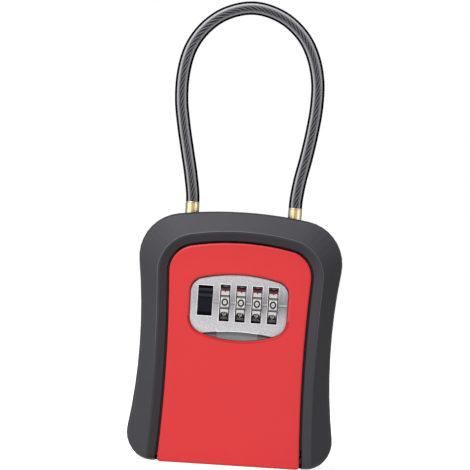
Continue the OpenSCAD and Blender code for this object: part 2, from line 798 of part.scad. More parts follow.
function dial_x(i) = dial_row_x + (i - 1.5) * dial_pitch;
// Right-hand face of a dial, from which its code wheel is measured
function dial_face(i) = dial_x(i) + dial_w / 2;

comb_gap = 0.6;
comb_past_axis = 4.4;
comb_top = dial_z - cam_r - comb_gap;
comb_back = dial_y + comb_past_axis;
comb_end_t = 2.5;
divider_setback = 1.4;
screw_boss_r = 2.2;

// Open frame that carries the lock: four walls, a comb between the dials and bosses
module lock_chassis() color(zinc) difference() {
    union() {
        difference() {
            box([chassis_left, chassis_front, chassis_low], [chassis_right, cover_front, chassis_top]);
            box([chassis_in_left, chassis_front - through, chassis_in_low],
                [chassis_in_right, cover_front + through, chassis_in_top]);
        }
        for (i = [0:2])
            box([dial_face(i) + seat_gap, chassis_front, chassis_low],
                [dial_face(i) + dial_pitch - dial_w - seat_gap, comb_back, comb_top]);
        box([arm_left, chassis_front, chassis_low],
            [first_dial_x - dial_w / 2 - seat_gap, comb_back, comb_top]);
        box([last_dial_x + dial_w / 2 + seat_gap, chassis_front, chassis_low],
            [last_dial_x + dial_w / 2 + seat_gap + comb_end_t, comb_back, comb_top]);
        box([divider_left, chassis_front + divider_setback, chassis_low],
            [divider_left + divider_t, latch_front - move_gap, shelf_z - press_travel - move_gap]);
        for (p = lock_screw_places) {
            bar_y(chassis_front, cover_front, p[0], p[1], screw_boss_r);
            corner_x = p[0] < 0 ? chassis_left : chassis_right;
            corner_z = p[1] < dial_z ? chassis_low : chassis_top;
            box([min(p[0], corner_x), chassis_front, min(p[1], corner_z)],
                [max(p[0], corner_x), cover_front, max(p[1], corner_z)]);
        }
    }
    bar_x(chassis_left - through, divider_left + divider_t + through, dial_y, dial_z,
        spindle_r + running_gap);
    bar_x(chassis_in_right - through, chassis_right + through, dial_y, dial_z, spindle_r + running_gap);
    for (side = [-1, 1])
        box([side * hook_x - hook_w / 2 - move_gap, hook_y - move_gap, chassis_in_top - through],
            [side * hook_x + hook_w / 2 + move_gap, hook_y + hook_t + move_gap,
                chassis_top + through]);
    for (p = lock_screw_places)
        bar_y(chassis_front - through, cover_front + through, p[0], p[1], screw_r + screw_clear);
}

lever_tab_past = 1.4;
lever_tab_x = arm_left - lever_tab_past;
lever_tab_w = 3;
lever_tab_h = 4;
lever_tab_d = 2.6;
lever_eye = [2.9, 2.6];
lever_plate_past = 0.6;
lever_plate_x = lever_tab_x - lever_plate_past;
lever_plate_w = 10;
lever_plate_half = 2.8;

module lock_cover() color(zinc) difference() {
    box([chassis_left, cover_front, chassis_low], [chassis_right, cover_back, chassis_top]);
    box([lever_tab_x - move_gap, cover_front - through, dial_z - lever_tab_h / 2 - move_gap],
        [lever_tab_x + lever_tab_w + code_travel + move_gap, cover_back + through,
            dial_z + lever_tab_h / 2 + move_gap]);
    for (p = lock_screw_places)
        bar_y(cover_front - through, cover_back + through, p[0], p[1], screw_r + screw_clear);
}

module lock_screws() color(steel)
    for (p = lock_screw_places) translate([p[0], cover_back, p[1]]) rotate([90, 0, 0])
        screw(cover_back - door_back + lock_screw_bite);

// Leaf spring with a finger below each dial
leaf_t = 0.5;
leaf_foot = 3.8;
leaf_back = comb_back + leaf_foot;
leaf_tip_y = dial_y - 0.6;
leaf_tip_z = dial_z - dial_r - move_gap;

module detent_spring() color(steel) {
    box([dial_face(0) - dial_w, comb_back + move_gap, chassis_in_low],
        [dial_face(3), leaf_back, chassis_in_low + leaf_t]);
    for (i = [0:3]) side_slab(dial_face(i) - dial_w + move_gap, dial_face(i) - move_gap)
        polygon([[leaf_back - 1, chassis_in_low], [leaf_back - 1, chassis_in_low + leaf_t],
            [comb_back, chassis_in_low + leaf_t + 0.4], [leaf_tip_y + 1.2, leaf_tip_z],
            [leaf_tip_y - 1.2, leaf_tip_z], [leaf_tip_y - 1.8, leaf_tip_z - 0.9],
            [leaf_tip_y - 1.4, leaf_tip_z - 0.9], [leaf_tip_y - 0.9, leaf_tip_z - leaf_t],
            [leaf_tip_y + 0.9, leaf_tip_z - leaf_t], [comb_back - 0.4, chassis_in_low]]);
}

// Latch: a plate behind the dials, a shelf over them, two hooks and four gate teeth
plate_left = chassis_in_left + seat_gap;
plate_right = chassis_in_right - seat_gap;
latch_up = 9.6;
latch_mid = dial_z + latch_up;
shelf_past_hook = 0.6;
shelf_past_dial = 1.6;
shelf_left = -hook_x - hook_w / 2 - shelf_past_hook;
shelf_right = last_dial_x + dial_w / 2 + shelf_past_dial;
lever_window_past = [1.2, 5];
lever_window = [lever_tab_x - lever_window_past[0], lever_tab_x + lever_window_past[1]];
latch_pin_w = 1.3;
latch_pin_len = 4;
latch_spring_in = [1.2, 1.8];
latch_spring_x = [arm_left + latch_spring_in[0], last_dial_x - latch_spring_in[1]];
latch_coil_r = 1.25;
latch_wire_r = 0.25;
latch_turns = 6;
stem_offset = 0.7;
stem_x = button_x - stem_offset;
stem_w = 4;
stem_down = 2.5;
stem_up = 4.5;
stem_screw_z = dial_z + (stem_up - stem_down) / 2;
stem_screw_len = 6;

module latch_plate() color(steel) {
    difference() {
        union() {
            box([plate_left, latch_front, latch_low], [plate_right, latch_front + latch_t, latch_mid]);
            box([shelf_left, latch_front, latch_low],
                [shelf_right, latch_front + latch_t, shelf_z + latch_t]);
        }
        box([lever_window[0], latch_front - through, dial_z - arm_half - lock_travel - move_gap],
            [lever_window[1], latch_front + latch_t + through,
                dial_z + arm_half + press_travel + move_gap]);
        bar_y(latch_front - through, latch_front + latch_t + through, stem_x, stem_screw_z,
            screw_r + screw_clear);
    }
    box([shelf_left, hook_y, shelf_z], [shelf_right, latch_front + latch_t, shelf_z + latch_t]);
    for (side = [-1, 1])
        box([side * hook_x - hook_w / 2, hook_y, shelf_z],
            [side * hook_x + hook_w / 2, hook_y + hook_t, hook_tip]);
    for (i = [0:3]) {
        tooth_x = dial_face(i) + cam_start + cam_t / 2;
        box([tooth_x - tooth_t / 2, dial_y - tooth_w / 2, tooth_tip],
            [tooth_x + tooth_t / 2, dial_y + tooth_w / 2, shelf_z + latch_t / 2]);
    }
    for (x = latch_spring_x)
        box([x - latch_pin_w / 2, latch_front, latch_low - latch_pin_len],
            [x + latch_pin_w / 2, latch_front + latch_t, latch_low]);
}

button_gap = 0.15;
button_proud = 0.6;
button_low = dial_z - slot_down + press_travel;
button_high = dial_z + slot_up - lock_travel;
button_front = plate_front - button_proud;
shield_t = 1;
shield_past = 0.6;
grip_h = 1.3;
grip_proud = 0.7;

module open_button() color(black) difference() {
    union() {
        box([button_x - slot_w / 2 + button_gap, button_front, button_low],
            [button_x + slot_w / 2 - button_gap, chassis_front + shield_t, button_high]);
        for (k = [0, 1])
            box([button_x - slot_w / 2 + button_gap, button_front - grip_proud,
                    button_high - grip_h - k * 2 * grip_h],
                [button_x + slot_w / 2 - button_gap, button_front, button_high - k * 2 * grip_h]);
        box([button_x - slot_w / 2 - shield_past, chassis_front + slide_gap,
                dial_z - slot_down - lock_travel - move_gap],
            [button_x + slot_w / 2 + shield_past, chassis_front + shield_t,
                dial_z + slot_up + press_travel + move_gap]);
        box([stem_x - stem_w / 2, chassis_front + slide_gap, dial_z - stem_down],
            [stem_x + stem_w / 2, latch_front, dial_z + stem_up]);
    }
    bar_y(latch_front - stem_screw_len, latch_front + through, stem_x, stem_screw_z, screw_r);
}

module button_screw() color(steel)
    translate([stem_x, latch_front + latch_t, stem_screw_z]) rotate([90, 0, 0])
        screw_low(stem_screw_len);

// A screw with a head thin enough to pass below the cover
module screw_low(length) {
    translate([0, 0, -lever_t]) cylinder(h = lever_t, r = screw_head_r - seat_gap);
    cylinder(h = length, r = screw_r);
}

module latch_springs() color(steel)
    for (x = latch_spring_x) translate([x, latch_front + latch_t / 2, 0])
        coil(latch_coil_r, latch_wire_r, chassis_in_low + spring_gap, latch_low - spring_gap,
            latch_turns);

// Code setting: a lever that pushes the spindle's collar and all code wheels sideways
module reset_lever() color(brass) difference() {
    union() {
        box([arm_left, dial_y - lever_eye[0], dial_z - lever_eye[1]],
            [arm_left + arm_t, dial_y + lever_eye[0], dial_z + lever_eye[1]]);
        box([arm_left, dial_y, dial_z - arm_half],
            [arm_left + arm_t, lever_front + lever_t, dial_z + arm_half]);
        box([lever_plate_x, lever_front, dial_z - lever_plate_half],
            [lever_plate_x + lever_plate_w, lever_front + lever_t, dial_z + lever_plate_half]);
        box([lever_tab_x, lever_front, dial_z - lever_tab_h / 2],
            [lever_tab_x + lever_tab_w, cover_back + lever_tab_d, dial_z + lever_tab_h / 2]);
    }
    bar_x(arm_left - through, arm_left + arm_t + through, dial_y, dial_z, spindle_r + running_gap);
}

collar_left = arm_left + arm_t + slide_gap / 2;

module spindle() color(steel) {
    bar_x(divider_left - code_travel, chassis_right - seat_gap, dial_y, dial_z, spindle_r);
    bar_x(collar_left, first_dial_x - dial_w / 2 + wheel_start - slide_gap / 2, dial_y, dial_z, collar_r);
}

module code_spring() color(steel)
    translate([last_sleeve_end, dial_y, dial_z]) rotate([0, 90, 0])
        coil(code_coil_r, code_wire_r, spring_gap, chassis_in_right - last_sleeve_end - spring_gap,
            code_turns);
code_coil_r = 2.75;
code_wire_r = 0.3;
code_turns = 4;
last_sleeve_end = dial_face(3) + cam_start + cam_t + move_gap;

// Code wheel: a driving wheel with two lugs, a neck and a cam with its gate
module sleeve(i) color(brass) {
    start = dial_face(i) - dial_w + wheel_start;
    cam_x = dial_face(i) + cam_start;
    stop = i < 3 ? start + dial_pitch - slide_gap : last_sleeve_end;
    difference() {
        union() {
            bar_x(start, start + wheel_t, dial_y, dial_z, wheel_r);
            intersection() {
                bar_x(start, start + wheel_t, dial_y, dial_z, lug_r);
                box([start, dial_y - lug_r, dial_z - lug_w / 2],
                    [start + wheel_t, dial_y + lug_r, dial_z + lug_w / 2]);
            }
            bar_x(start, stop, dial_y, dial_z, neck_r);
            difference() {
                bar_x(cam_x, cam_x + cam_t, dial_y, dial_z, cam_r);
                box([cam_x - through, dial_y - gate_w / 2, dial_z + neck_r],
                    [cam_x + cam_t + through, dial_y + gate_w / 2, dial_z + cam_r + through]);
            }
        }
        bar_x(start - through, stop + through, dial_y, dial_z, spindle_r + running_gap);
    }
}

// Dial: ten flats with a groove between them, notched inside at its driven end
corner_groove = 1.1;

module dial(i) color(lock_silver) {
    start = dial_face(i) - dial_w;
    step = 360 / dial_numbers;
    translate([start, dial_y, dial_z]) rotate([-90, 0, 0]) rotate([0, 90, 0]) difference() {
        intersection() {
            rotate([0, 0, step / 2])
                cylinder(h = dial_w, r = dial_flat_r / cos(step / 2), $fn = dial_numbers);
            cylinder(h = dial_w, r = dial_r);
        }
        translate([0, 0, -through]) cylinder(h = dial_w + 2 * through, r = dial_bore_r);
        translate([0, 0, dial_step]) cylinder(h = dial_w, r = dial_deep_r);
        for (k = [0:dial_numbers - 1]) rotate([0, 0, k * step]) {
            rotate([0, 0, step / 2]) translate([dial_r, 0, -through])
                rotate([0, 0, 45])
                    cube([corner_groove, corner_groove, 2 * (dial_w + through)], center = true);
            translate([0, -notch_w / 2, -through]) cube([dial_notch_r, notch_w, dial_step + through]);
        }
    }
}

module sleeve_1() sleeve(0);
module sleeve_2() sleeve(1);
module sleeve_3() sleeve(2);
module sleeve_4() sleeve(3);
module dial_1() dial(0);
module dial_2() dial(1);
module dial_3() dial(2);
module dial_4() dial(3);

housing();
back_cover();
back_cover_screws();
hinge_pins();
strike_plate();
strike_screws();
shackle_cover();
shackle_cover_screws();
shackle_catch();
catch_spring();
cable();
ferrule_left();
ferrule_right();
door_panel();
escutcheon();
lock_chassis();
lock_cover();
lock_screws();
detent_spring();
latch_plate();
open_button();
button_screw();
latch_springs();
reset_lever();
spindle();
code_spring();
sleeve_1();
sleeve_2();
sleeve_3();
sleeve_4();
dial_1();
dial_2();
dial_3();
dial_4();
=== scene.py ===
# %% [markdown]
# # Combination key safe
# A hand-sized key safe: a waisted grey housing, a red door with four number dials and a release
# button, and a loop of coated steel cable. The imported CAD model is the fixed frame. It already has
# the right place and size for every part, so this script only adds what CAD leaves out: finishes,
# the strands in the cable, the numbers on the dials and the soft edges that catch the light.

# %% Load the frame
import json
import math
import bpy
from mathutils import Matrix, Vector


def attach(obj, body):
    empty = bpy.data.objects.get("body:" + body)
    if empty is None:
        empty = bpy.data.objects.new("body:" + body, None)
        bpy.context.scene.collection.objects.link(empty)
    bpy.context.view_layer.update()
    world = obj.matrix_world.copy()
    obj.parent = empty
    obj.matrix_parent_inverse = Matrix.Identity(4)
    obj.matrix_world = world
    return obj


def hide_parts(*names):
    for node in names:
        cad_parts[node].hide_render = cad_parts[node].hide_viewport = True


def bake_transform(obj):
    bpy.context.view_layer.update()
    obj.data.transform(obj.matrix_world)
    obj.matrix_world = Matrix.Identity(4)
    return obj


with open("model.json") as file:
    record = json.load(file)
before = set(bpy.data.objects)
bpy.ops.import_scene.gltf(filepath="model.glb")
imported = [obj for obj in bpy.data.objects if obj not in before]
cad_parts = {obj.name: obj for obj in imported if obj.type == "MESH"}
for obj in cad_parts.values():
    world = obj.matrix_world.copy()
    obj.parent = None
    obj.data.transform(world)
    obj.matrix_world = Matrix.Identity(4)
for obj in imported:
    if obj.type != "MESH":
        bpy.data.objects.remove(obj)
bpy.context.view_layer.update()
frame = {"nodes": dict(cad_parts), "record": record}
MM = 0.001

# %% [markdown]
# ## Camera
# The photograph looks straight at the front from about a metre away, turned by almost four degrees
# about its own line of sight. A camera could be aimed by eye, but a small error in its turn shows
# along every edge. These numbers come from a least-squares fit of the dials, the door's corners,
# the brass ends and the housing's outline. A long lens keeps the sides parallel.

# %% Camera
VIEW_AIM = Vector((-3.388, 0, 105.219)) * MM
VIEW_DISTANCE = 1.0
VIEW_YAW, VIEW_PITCH, VIEW_ROLL = math.radians(-0.801), math.radians(0.172), math.radians(3.761)
VIEW_FOCAL_PIXELS, PHOTO_PIXELS, SENSOR_MM = 2157.48, 470, 36
VIEW_NEAREST, VIEW_FARTHEST = 0.05, 50

forward = Vector((-math.sin(VIEW_YAW) * math.cos(VIEW_PITCH),
                  math.cos(VIEW_YAW) * math.cos(VIEW_PITCH), -math.sin(VIEW_PITCH)))
level_right = Vector((math.cos(VIEW_YAW), math.sin(VIEW_YAW), 0))
level_up = level_right.cross(forward)
screen_right = level_right * math.cos(VIEW_ROLL) + level_up * math.sin(VIEW_ROLL)
screen_up = level_up * math.cos(VIEW_ROLL) - level_right * math.sin(VIEW_ROLL)

camera = bpy.data.objects.new("camera", bpy.data.cameras.new("camera"))
bpy.context.scene.collection.objects.link(camera)
bpy.context.scene.camera = camera
camera.data.sensor_width = SENSOR_MM
camera.data.lens = VIEW_FOCAL_PIXELS / PHOTO_PIXELS * SENSOR_MM
turn = Matrix((screen_right, screen_up, -forward)).transposed().to_4x4()
camera.matrix_world = Matrix.Translation(VIEW_AIM - forward * VIEW_DISTANCE) @ turn
camera.data.clip_start, camera.data.clip_end = VIEW_NEAREST, VIEW_FARTHEST
print("lens in mm:", round(camera.data.lens, 1))

# %% [markdown]
# ## Shared effects
# Real surfaces are never one flat value: a coat is grained, a casting is blotchy, silver paint
# holds flakes. An image could show that, but it has to be wrapped round each part and blurs close
# up. Noise that is worked out at each point has neither fault. As a node group with named inputs it
# is built once and placed in many materials, each with its own values. Two helpers come first: one
# places a math node, the other makes an empty group.

# %% Helpers for node trees
def math_node(tree, operation, *values, clamp=False):
    """The result of a math node; each value is a socket to link or a number to set."""
    node = tree.nodes.new("ShaderNodeMath")
    node.operation = operation
    node.use_clamp = clamp
    for socket, value in zip(node.inputs, values):
        if isinstance(value, (int, float)):
            socket.default_value = value
        else:
            tree.links.new(value, socket)
    return node.outputs[0]


def node_group(name, inputs, output):
    """An empty shader group with float inputs {name: default} and one float output."""
    group = bpy.data.node_groups.new(name, "ShaderNodeTree")
    new_socket = group.interface.new_socket
    for label, value in inputs.items():
        new_socket(name=label, in_out="INPUT", socket_type="NodeSocketFloat").default_value = value
    new_socket(name=output, in_out="OUTPUT", socket_type="NodeSocketFloat")
    return group, group.nodes.new("NodeGroupInput"), group.nodes.new("NodeGroupOutput")


print("helpers for node trees: math_node, node_group")

# %% [markdown]
# Brushed and turned metal has marks that are longer one way. Each group could hold its own
# direction, but it is simpler to stretch the coordinates that its texture reads, by three inputs
# that all the groups have in common.

# %% Stretched coordinates
STRETCH = {"Stretch X": 1, "Stretch Y": 1, "Stretch Z": 1}


def stretched_place(group, start):
    """Object coordinates, stretched along the three axes by the group's inputs."""
    place = group.nodes.new("ShaderNodeTexCoord")
    stretch = group.nodes.new("ShaderNodeCombineXYZ")
    product = group.nodes.new("ShaderNodeVectorMath")
    product.operation = "MULTIPLY"
    for axis in "XYZ":
        group.links.new(start.outputs["Stretch " + axis], stretch.inputs[axis])
    group.links.new(place.outputs["Object"], product.inputs[0])
    group.links.new(stretch.outputs[0], product.inputs[1])
    return product.outputs[0]


def group_texture(group, start, kind):
    """A texture node in a group, fed with the group's stretched coordinates and scale."""
    texture = group.nodes.new(kind)
    group.links.new(stretched_place(group, start), texture.inputs["Vector"])
    group.links.new(start.outputs["Scale"], texture.inputs["Scale"])
    return texture


print("stretch inputs:", list(STRETCH))

# %% [markdown]
# ### Fine grain
# A coat or a casting has a grain of a few tenths of a millimetre that breaks up its shine. Modelled
# grain would need millions of faces. A noise gives the same as a height, which each finish turns
# into bump and into small changes of roughness.

# %% Fine grain
grain_group, start, end = node_group("fine grain", {"Scale": 3000, **STRETCH}, "Height")
grain = group_texture(grain_group, start, "ShaderNodeTexNoise")
grain.inputs["Detail"].default_value = 3
grain_group.links.new(grain.outputs["Fac"], end.inputs["Height"])
print("group:", grain_group.name)

# %% [markdown]
# ### Slow mottle
# Handled and cast parts are a little lighter here and darker there. A second colour could be mixed
# in, but a factor works for every base colour. It runs from 1 - Amount to 1 + Amount.

# %% Slow mottle
mottle_group, start, end = node_group(
    "slow mottle", {"Scale": 60, "Amount": 0.1, **STRETCH}, "Factor")
blotches = group_texture(mottle_group, start, "ShaderNodeTexNoise")
blotches.inputs["Detail"].default_value = 4
amount = start.outputs["Amount"]
mottle_factor = math_node(mottle_group, "MULTIPLY_ADD", blotches.outputs["Fac"],
                          math_node(mottle_group, "MULTIPLY", amount, 2),
                          math_node(mottle_group, "SUBTRACT", 1, amount))
mottle_group.links.new(mottle_factor, end.inputs["Factor"])
print("group:", mottle_group.name)

# %% [markdown]
# ### Metal flakes
# Silver paint and bare die casting glitter in tiny grains. A smooth noise looks like fog at that
# size, so Voronoi cells are used: each cell is one flake with a random brightness.

# %% Metal flakes
flake_group, start, end = node_group(
    "metal flakes", {"Scale": 2500, "Amount": 0.3, **STRETCH}, "Factor")
cells = group_texture(flake_group, start, "ShaderNodeTexVoronoi")
cell_shade = flake_group.nodes.new("ShaderNodeSeparateColor")
flake_range = flake_group.nodes.new("ShaderNodeMapRange")
flake_range.inputs["To Max"].default_value = 1
flake_group.links.new(cells.outputs["Color"], cell_shade.inputs[0])
flake_group.links.new(cell_shade.outputs[0], flake_range.inputs["Value"])
flake_group.links.new(math_node(flake_group, "SUBTRACT", 1, start.outputs["Amount"]),
                      flake_range.inputs["To Min"])
flake_group.links.new(flake_range.outputs[0], end.inputs["Factor"])
print("group:", flake_group.name)

# %% [markdown]
# ### Soft patch
# A large silver face is darker where it mirrors something dim. A dark card could be put into the
# room for it, but that would darken the door as well. This group lowers the colour round one place
# on the front instead: its factor falls smoothly from 1 to 1 - Depth.

# %% Soft patch
patch_group, start, end = node_group(
    "soft patch", {"Middle X": 0, "Middle Z": 0, "Half X": 0.02, "Half Z": 0.02, "Depth": 0.4},
    "Factor")
place = patch_group.nodes.new("ShaderNodeTexCoord")
split = patch_group.nodes.new("ShaderNodeSeparateXYZ")
patch_group.links.new(place.outputs["Object"], split.inputs[0])
squares = []
for axis in "XZ":
    away = math_node(patch_group, "SUBTRACT", split.outputs[axis], start.outputs["Middle " + axis])
    share = math_node(patch_group, "DIVIDE", away, start.outputs["Half " + axis])
    squares.append(math_node(patch_group, "POWER", math_node(patch_group, "ABSOLUTE", share), 2))
inside = math_node(patch_group, "POWER", 1 / math.e, math_node(patch_group, "ADD", *squares))
dip = math_node(patch_group, "MULTIPLY", inside, start.outputs["Depth"])
patch_group.links.new(math_node(patch_group, "SUBTRACT", 1, dip), end.inputs["Factor"])
print("group:", patch_group.name)

# %% [markdown]
# ## One recipe for all finishes
# A coat, a plating and a casting differ in their values, not in their build, so one recipe makes
# them all. It could be a node group too, but the shader has to stay in the material, so it is a
# function. Constant values go straight onto the shader's sockets, and only what changes over the
# surface is linked. Some finishes change towards the part's outline, as painted shade or painted
# reflection: a clear coat is darker there, a polished pin mirrors the white room. A ramp over the
# slant of the surface paints that.

# %% Helpers for a finish
def effect(tree, group, values):
    """The result of a shared effect, placed in a material with its own values."""
    node = tree.nodes.new("ShaderNodeGroup")
    node.node_tree = group
    for label, value in values.items():
        node.inputs[label].default_value = value
    return node.outputs[0]


def by_slant(tree, stops):
    """Colours or values over the slant: 0 where the surface faces the eye, 1 at its outline."""
    slant = tree.nodes.new("ShaderNodeLayerWeight")
    slant.inputs["Blend"].default_value = 0.5
    ramp = tree.nodes.new("ShaderNodeValToRGB")
    while len(ramp.color_ramp.elements) < len(stops):
        ramp.color_ramp.elements.new(1)
    for element, (place, value) in zip(ramp.color_ramp.elements, stops):
        element.position = place
        element.color = (*value, 1) if isinstance(value, tuple) else (value, value, value, 1)
    tree.links.new(slant.outputs["Facing"], ramp.inputs[0])
    return ramp.outputs["Color"]


def grained(tree, shader, scale_values, roughness, rough_spread, grain_mm):
    """Roughness and bump from the fine grain."""
    height = effect(tree, grain_group, scale_values)
    rough = tree.nodes.new("ShaderNodeMapRange")
    rough.inputs["To Min"].default_value = max(roughness - rough_spread, 0.02)
    rough.inputs["To Max"].default_value = min(roughness + rough_spread, 1)
    bump = tree.nodes.new("ShaderNodeBump")
    bump.inputs["Distance"].default_value = grain_mm * MM
    bump.inputs["Strength"].default_value = 1
    tree.links.new(height, rough.inputs["Value"])
    tree.links.new(height, bump.inputs["Height"])
    tree.links.new(rough.outputs[0], shader.inputs["Roughness"])
    tree.links.new(bump.outputs[0], shader.inputs["Normal"])


print("effects to place:", len(bpy.data.node_groups))

# %% Recipe for a finish
FLAKE_SCALE = 2400


def finish(name, colour, roughness, metallic=0.0, mottle=0.06, mottle_scale=60, flakes=0.0,
           grain_mm=0.02, grain_scale=3000, stretch=(1, 1, 1), rough_spread=0.08, specular=0.5,
           slant_colours=None, slant_alpha=None, patch=None):
    """A material with varied colour and roughness, flakes and a fine bump. The slant lists hold
    the stops of by_slant, and patch holds the values of the soft patch."""
    material = bpy.data.materials.new(name)
    material.use_nodes = True
    tree = material.node_tree
    shader = tree.nodes["Principled BSDF"]
    shader.inputs["Metallic"].default_value = metallic
    shader.inputs["Specular IOR Level"].default_value = specular

    along = dict(zip(STRETCH, stretch))
    factor = effect(tree, mottle_group, {"Scale": mottle_scale, "Amount": mottle, **along})
    if flakes:
        bright = effect(tree, flake_group, {"Scale": FLAKE_SCALE, "Amount": flakes, **along})
        factor = math_node(tree, "MULTIPLY", factor, bright)
    if patch:
        factor = math_node(tree, "MULTIPLY", factor, effect(tree, patch_group, patch))
    shade = tree.nodes.new("ShaderNodeVectorMath")
    shade.operation = "SCALE"
    if slant_colours:
        tree.links.new(by_slant(tree, slant_colours), shade.inputs[0])
    else:
        shade.inputs[0].default_value = colour
    tree.links.new(factor, shade.inputs["Scale"])
    tree.links.new(shade.outputs[0], shader.inputs["Base Color"])
    if slant_alpha:
        path = tree.nodes.new("ShaderNodeLightPath")
        solid = math_node(tree, "SUBTRACT", by_slant(tree, slant_alpha),
                          path.outputs["Is Shadow Ray"], clamp=True)
        tree.links.new(solid, shader.inputs["Alpha"])
    grained(tree, shader, {"Scale": grain_scale, **along}, roughness, rough_spread, grain_mm)
    return material


print("flakes are %.1f mm wide" % (1 / FLAKE_SCALE / MM))

# %% [markdown]
# ## Coats and paint
# The housing is a zinc casting in a soft-touch grey coat whose colour goes dark where the surface
# turns away from the eye: painted shade at its outline. The door has a smooth red paint; the darker
# red on the flared lip of its opening is painted shade. A high specular value would lay a white veil
# over these flat fronts, so it stays low, and the grain gives the surface its life. A lighter grey
# paints the highlight on the housing's ridge, and a plain black paints the shade in the gaps.

# %% Coats and paint
CASE_GREY = (0.046, 0.0455, 0.0515)
OUTLINE_SHADE_BLACK = (0.003, 0.003, 0.004)
case_coat = finish("case coat", CASE_GREY, 0.6, grain_mm=0.03, grain_scale=2600, specular=0.1,
                   slant_colours=[(0, CASE_GREY), (0.56, CASE_GREY), (0.76, OUTLINE_SHADE_BLACK)])
ridge_highlight_paint = finish("ridge painted highlight", (0.085, 0.085, 0.09), 0.5, mottle=0.1, specular=0.3)
door_paint = finish("door paint", (0.655, 0.037, 0.039), 0.45, mottle=0.02, mottle_scale=40,
                    grain_mm=0.012, grain_scale=1400, rough_spread=0.05, specular=0.25)
lip_shade_paint = finish("lip painted shade", (0.46, 0.020, 0.022), 0.5, mottle=0.03, grain_mm=0.012,
                   grain_scale=1400, specular=0.1)
painted_shade_black = finish("painted shade black", (0.012, 0.012, 0.013), 0.7, grain_mm=0.01, specular=0.1)
print("materials so far, with the frame's own:", len(bpy.data.materials))

# %% [markdown]
# ## Silver of the escutcheon
# The escutcheon is die cast and painted silver: dull and with flakes. Darker copies of the silver
# paint the shade in its recesses and beside the index line, and a near-white and a light grey paint
# the highlights on its rims and on the index line. A mirror-like metal would show the empty room as
# black, so these finishes are only partly metallic.

# %% Silver of the escutcheon
plate_silver = finish("plate silver", (0.555, 0.54, 0.56), 0.5, metallic=0.3, mottle=0.05,
                      flakes=0.25, grain_mm=0.006, specular=0.3,
                      patch={"Middle X": 16 * MM, "Middle Z": 75 * MM, "Half X": 38 * MM,
                             "Half Z": 7 * MM, "Depth": 0.52})
scoop_shade_silver = finish("scoop painted shade", (0.20, 0.215, 0.215), 0.5, metallic=0.3, flakes=0.15,
                      grain_mm=0.006, specular=0.3)
recess_dark = finish("recess shade", (0.11, 0.115, 0.12), 0.55, metallic=0.2, flakes=0.15,
                     grain_mm=0.006, specular=0.2)
rim_highlight_silver = finish("rim painted highlight", (0.93, 0.93, 0.93), 0.4, metallic=0.1, mottle=0.03,
                    grain_mm=0.004)
index_highlight = finish("index painted highlight", (0.40, 0.39, 0.40), 0.45, metallic=0.2, mottle=0.03,
                     grain_mm=0.004)
print("materials so far, with the frame's own:", len(bpy.data.materials))

# %% [markdown]
# ## Dials, numbers and button
# The dials are plated, with sunk numbers filled with paint. The numbers' black and grey also paint
# the shade on the dials' walls and grooves, and some fields on the flats paint shade and others
# highlights. The grey of the far numbers and of the shade is broken up by a fine mottle, as paint is
# that a thumb has rubbed. The button is a black moulding, and its grip bars are a touch lighter.

# %% Dials, numbers and button
dial_plating = finish("dial plating", (0.60, 0.60, 0.59), 0.5, metallic=0.15, mottle=0.05,
                      grain_mm=0.004, specular=0.3)
dial_highlight_white = finish("dial painted highlight white", (0.9, 0.88, 0.88), 0.5, mottle=0.05, grain_mm=0.004,
                      specular=0.2)
number_and_shade_black = finish("number and painted shade black", (0.010, 0.010, 0.012), 0.5, grain_mm=0.006, specular=0.15)
number_and_shade_light = finish("number and painted shade light", (0.44, 0.43, 0.43), 0.5, mottle=0.05, grain_mm=0.004,
                      specular=0.2)
number_and_shade_grey = finish("number and painted shade grey", (0.16, 0.16, 0.16), 0.5, mottle=0.2, mottle_scale=900,
                     grain_mm=0.006, specular=0.2)
number_red = finish("number red", (0.07, 0.002, 0.007), 0.5, mottle=0.15, mottle_scale=900,
                    grain_mm=0.006, specular=0.2)
button_black = finish("button black", (0.007, 0.007, 0.014), 0.4, grain_mm=0.01, grain_scale=2200,
                      specular=0.07)
grip_grey = finish("button grip", (0.020, 0.018, 0.024), 0.45, grain_mm=0.01, grain_scale=2200,
                   specular=0.12)
print("materials so far, with the frame's own:", len(bpy.data.materials))

# %% [markdown]
# ## Bare metals
# Inside are cast zinc, plated steel and brass. Turned parts carry fine rings from the lathe, which
# a stretched mottle gives without a face more. The brass ends are the one polished metal in sight,
# so their ramp holds what they mirror: the bright room beside them and dark at the outline.

# %% Bare metals
cast_zinc = finish("cast zinc", (0.30, 0.30, 0.31), 0.5, metallic=0.7, mottle=0.14,
                   mottle_scale=120, grain_mm=0.03, grain_scale=1500)
plated_steel = finish("plated steel", (0.56, 0.56, 0.57), 0.3, metallic=1.0, mottle=0.08,
                      mottle_scale=200, stretch=(0.2, 1, 1), grain_mm=0.006)
dark_steel = finish("near-black steel", (0.03, 0.03, 0.032), 0.45, metallic=0.5, mottle=0.1,
                    grain_mm=0.006, specular=0.2)
spring_steel = finish("spring steel", (0.42, 0.42, 0.43), 0.28, metallic=1.0, grain_mm=0.005)
turned_brass = finish("turned brass", (0.62, 0.41, 0.16), 0.3, metallic=1.0, mottle_scale=300,
                      stretch=(1, 1, 6), grain_mm=0.006, grain_scale=900)
POLISHED_BRASS = (0.60, 0.38, 0.15)
polished_brass = finish("polished brass", POLISHED_BRASS, 0.2, metallic=1.0, mottle_scale=300,
                        stretch=(1, 1, 6), grain_mm=0.004, grain_scale=900, slant_colours=[
                            (0, POLISHED_BRASS), (0.05, (0.66, 0.43, 0.18)),
                            (0.08, (1.0, 0.93, 0.78)), (0.2, (1.0, 0.95, 0.82)),
                            (0.3, (0.55, 0.44, 0.24)), (0.5, (0.22, 0.17, 0.09)),
                            (1, (0.10, 0.08, 0.04))])
print("materials so far, with the frame's own:", len(bpy.data.materials))
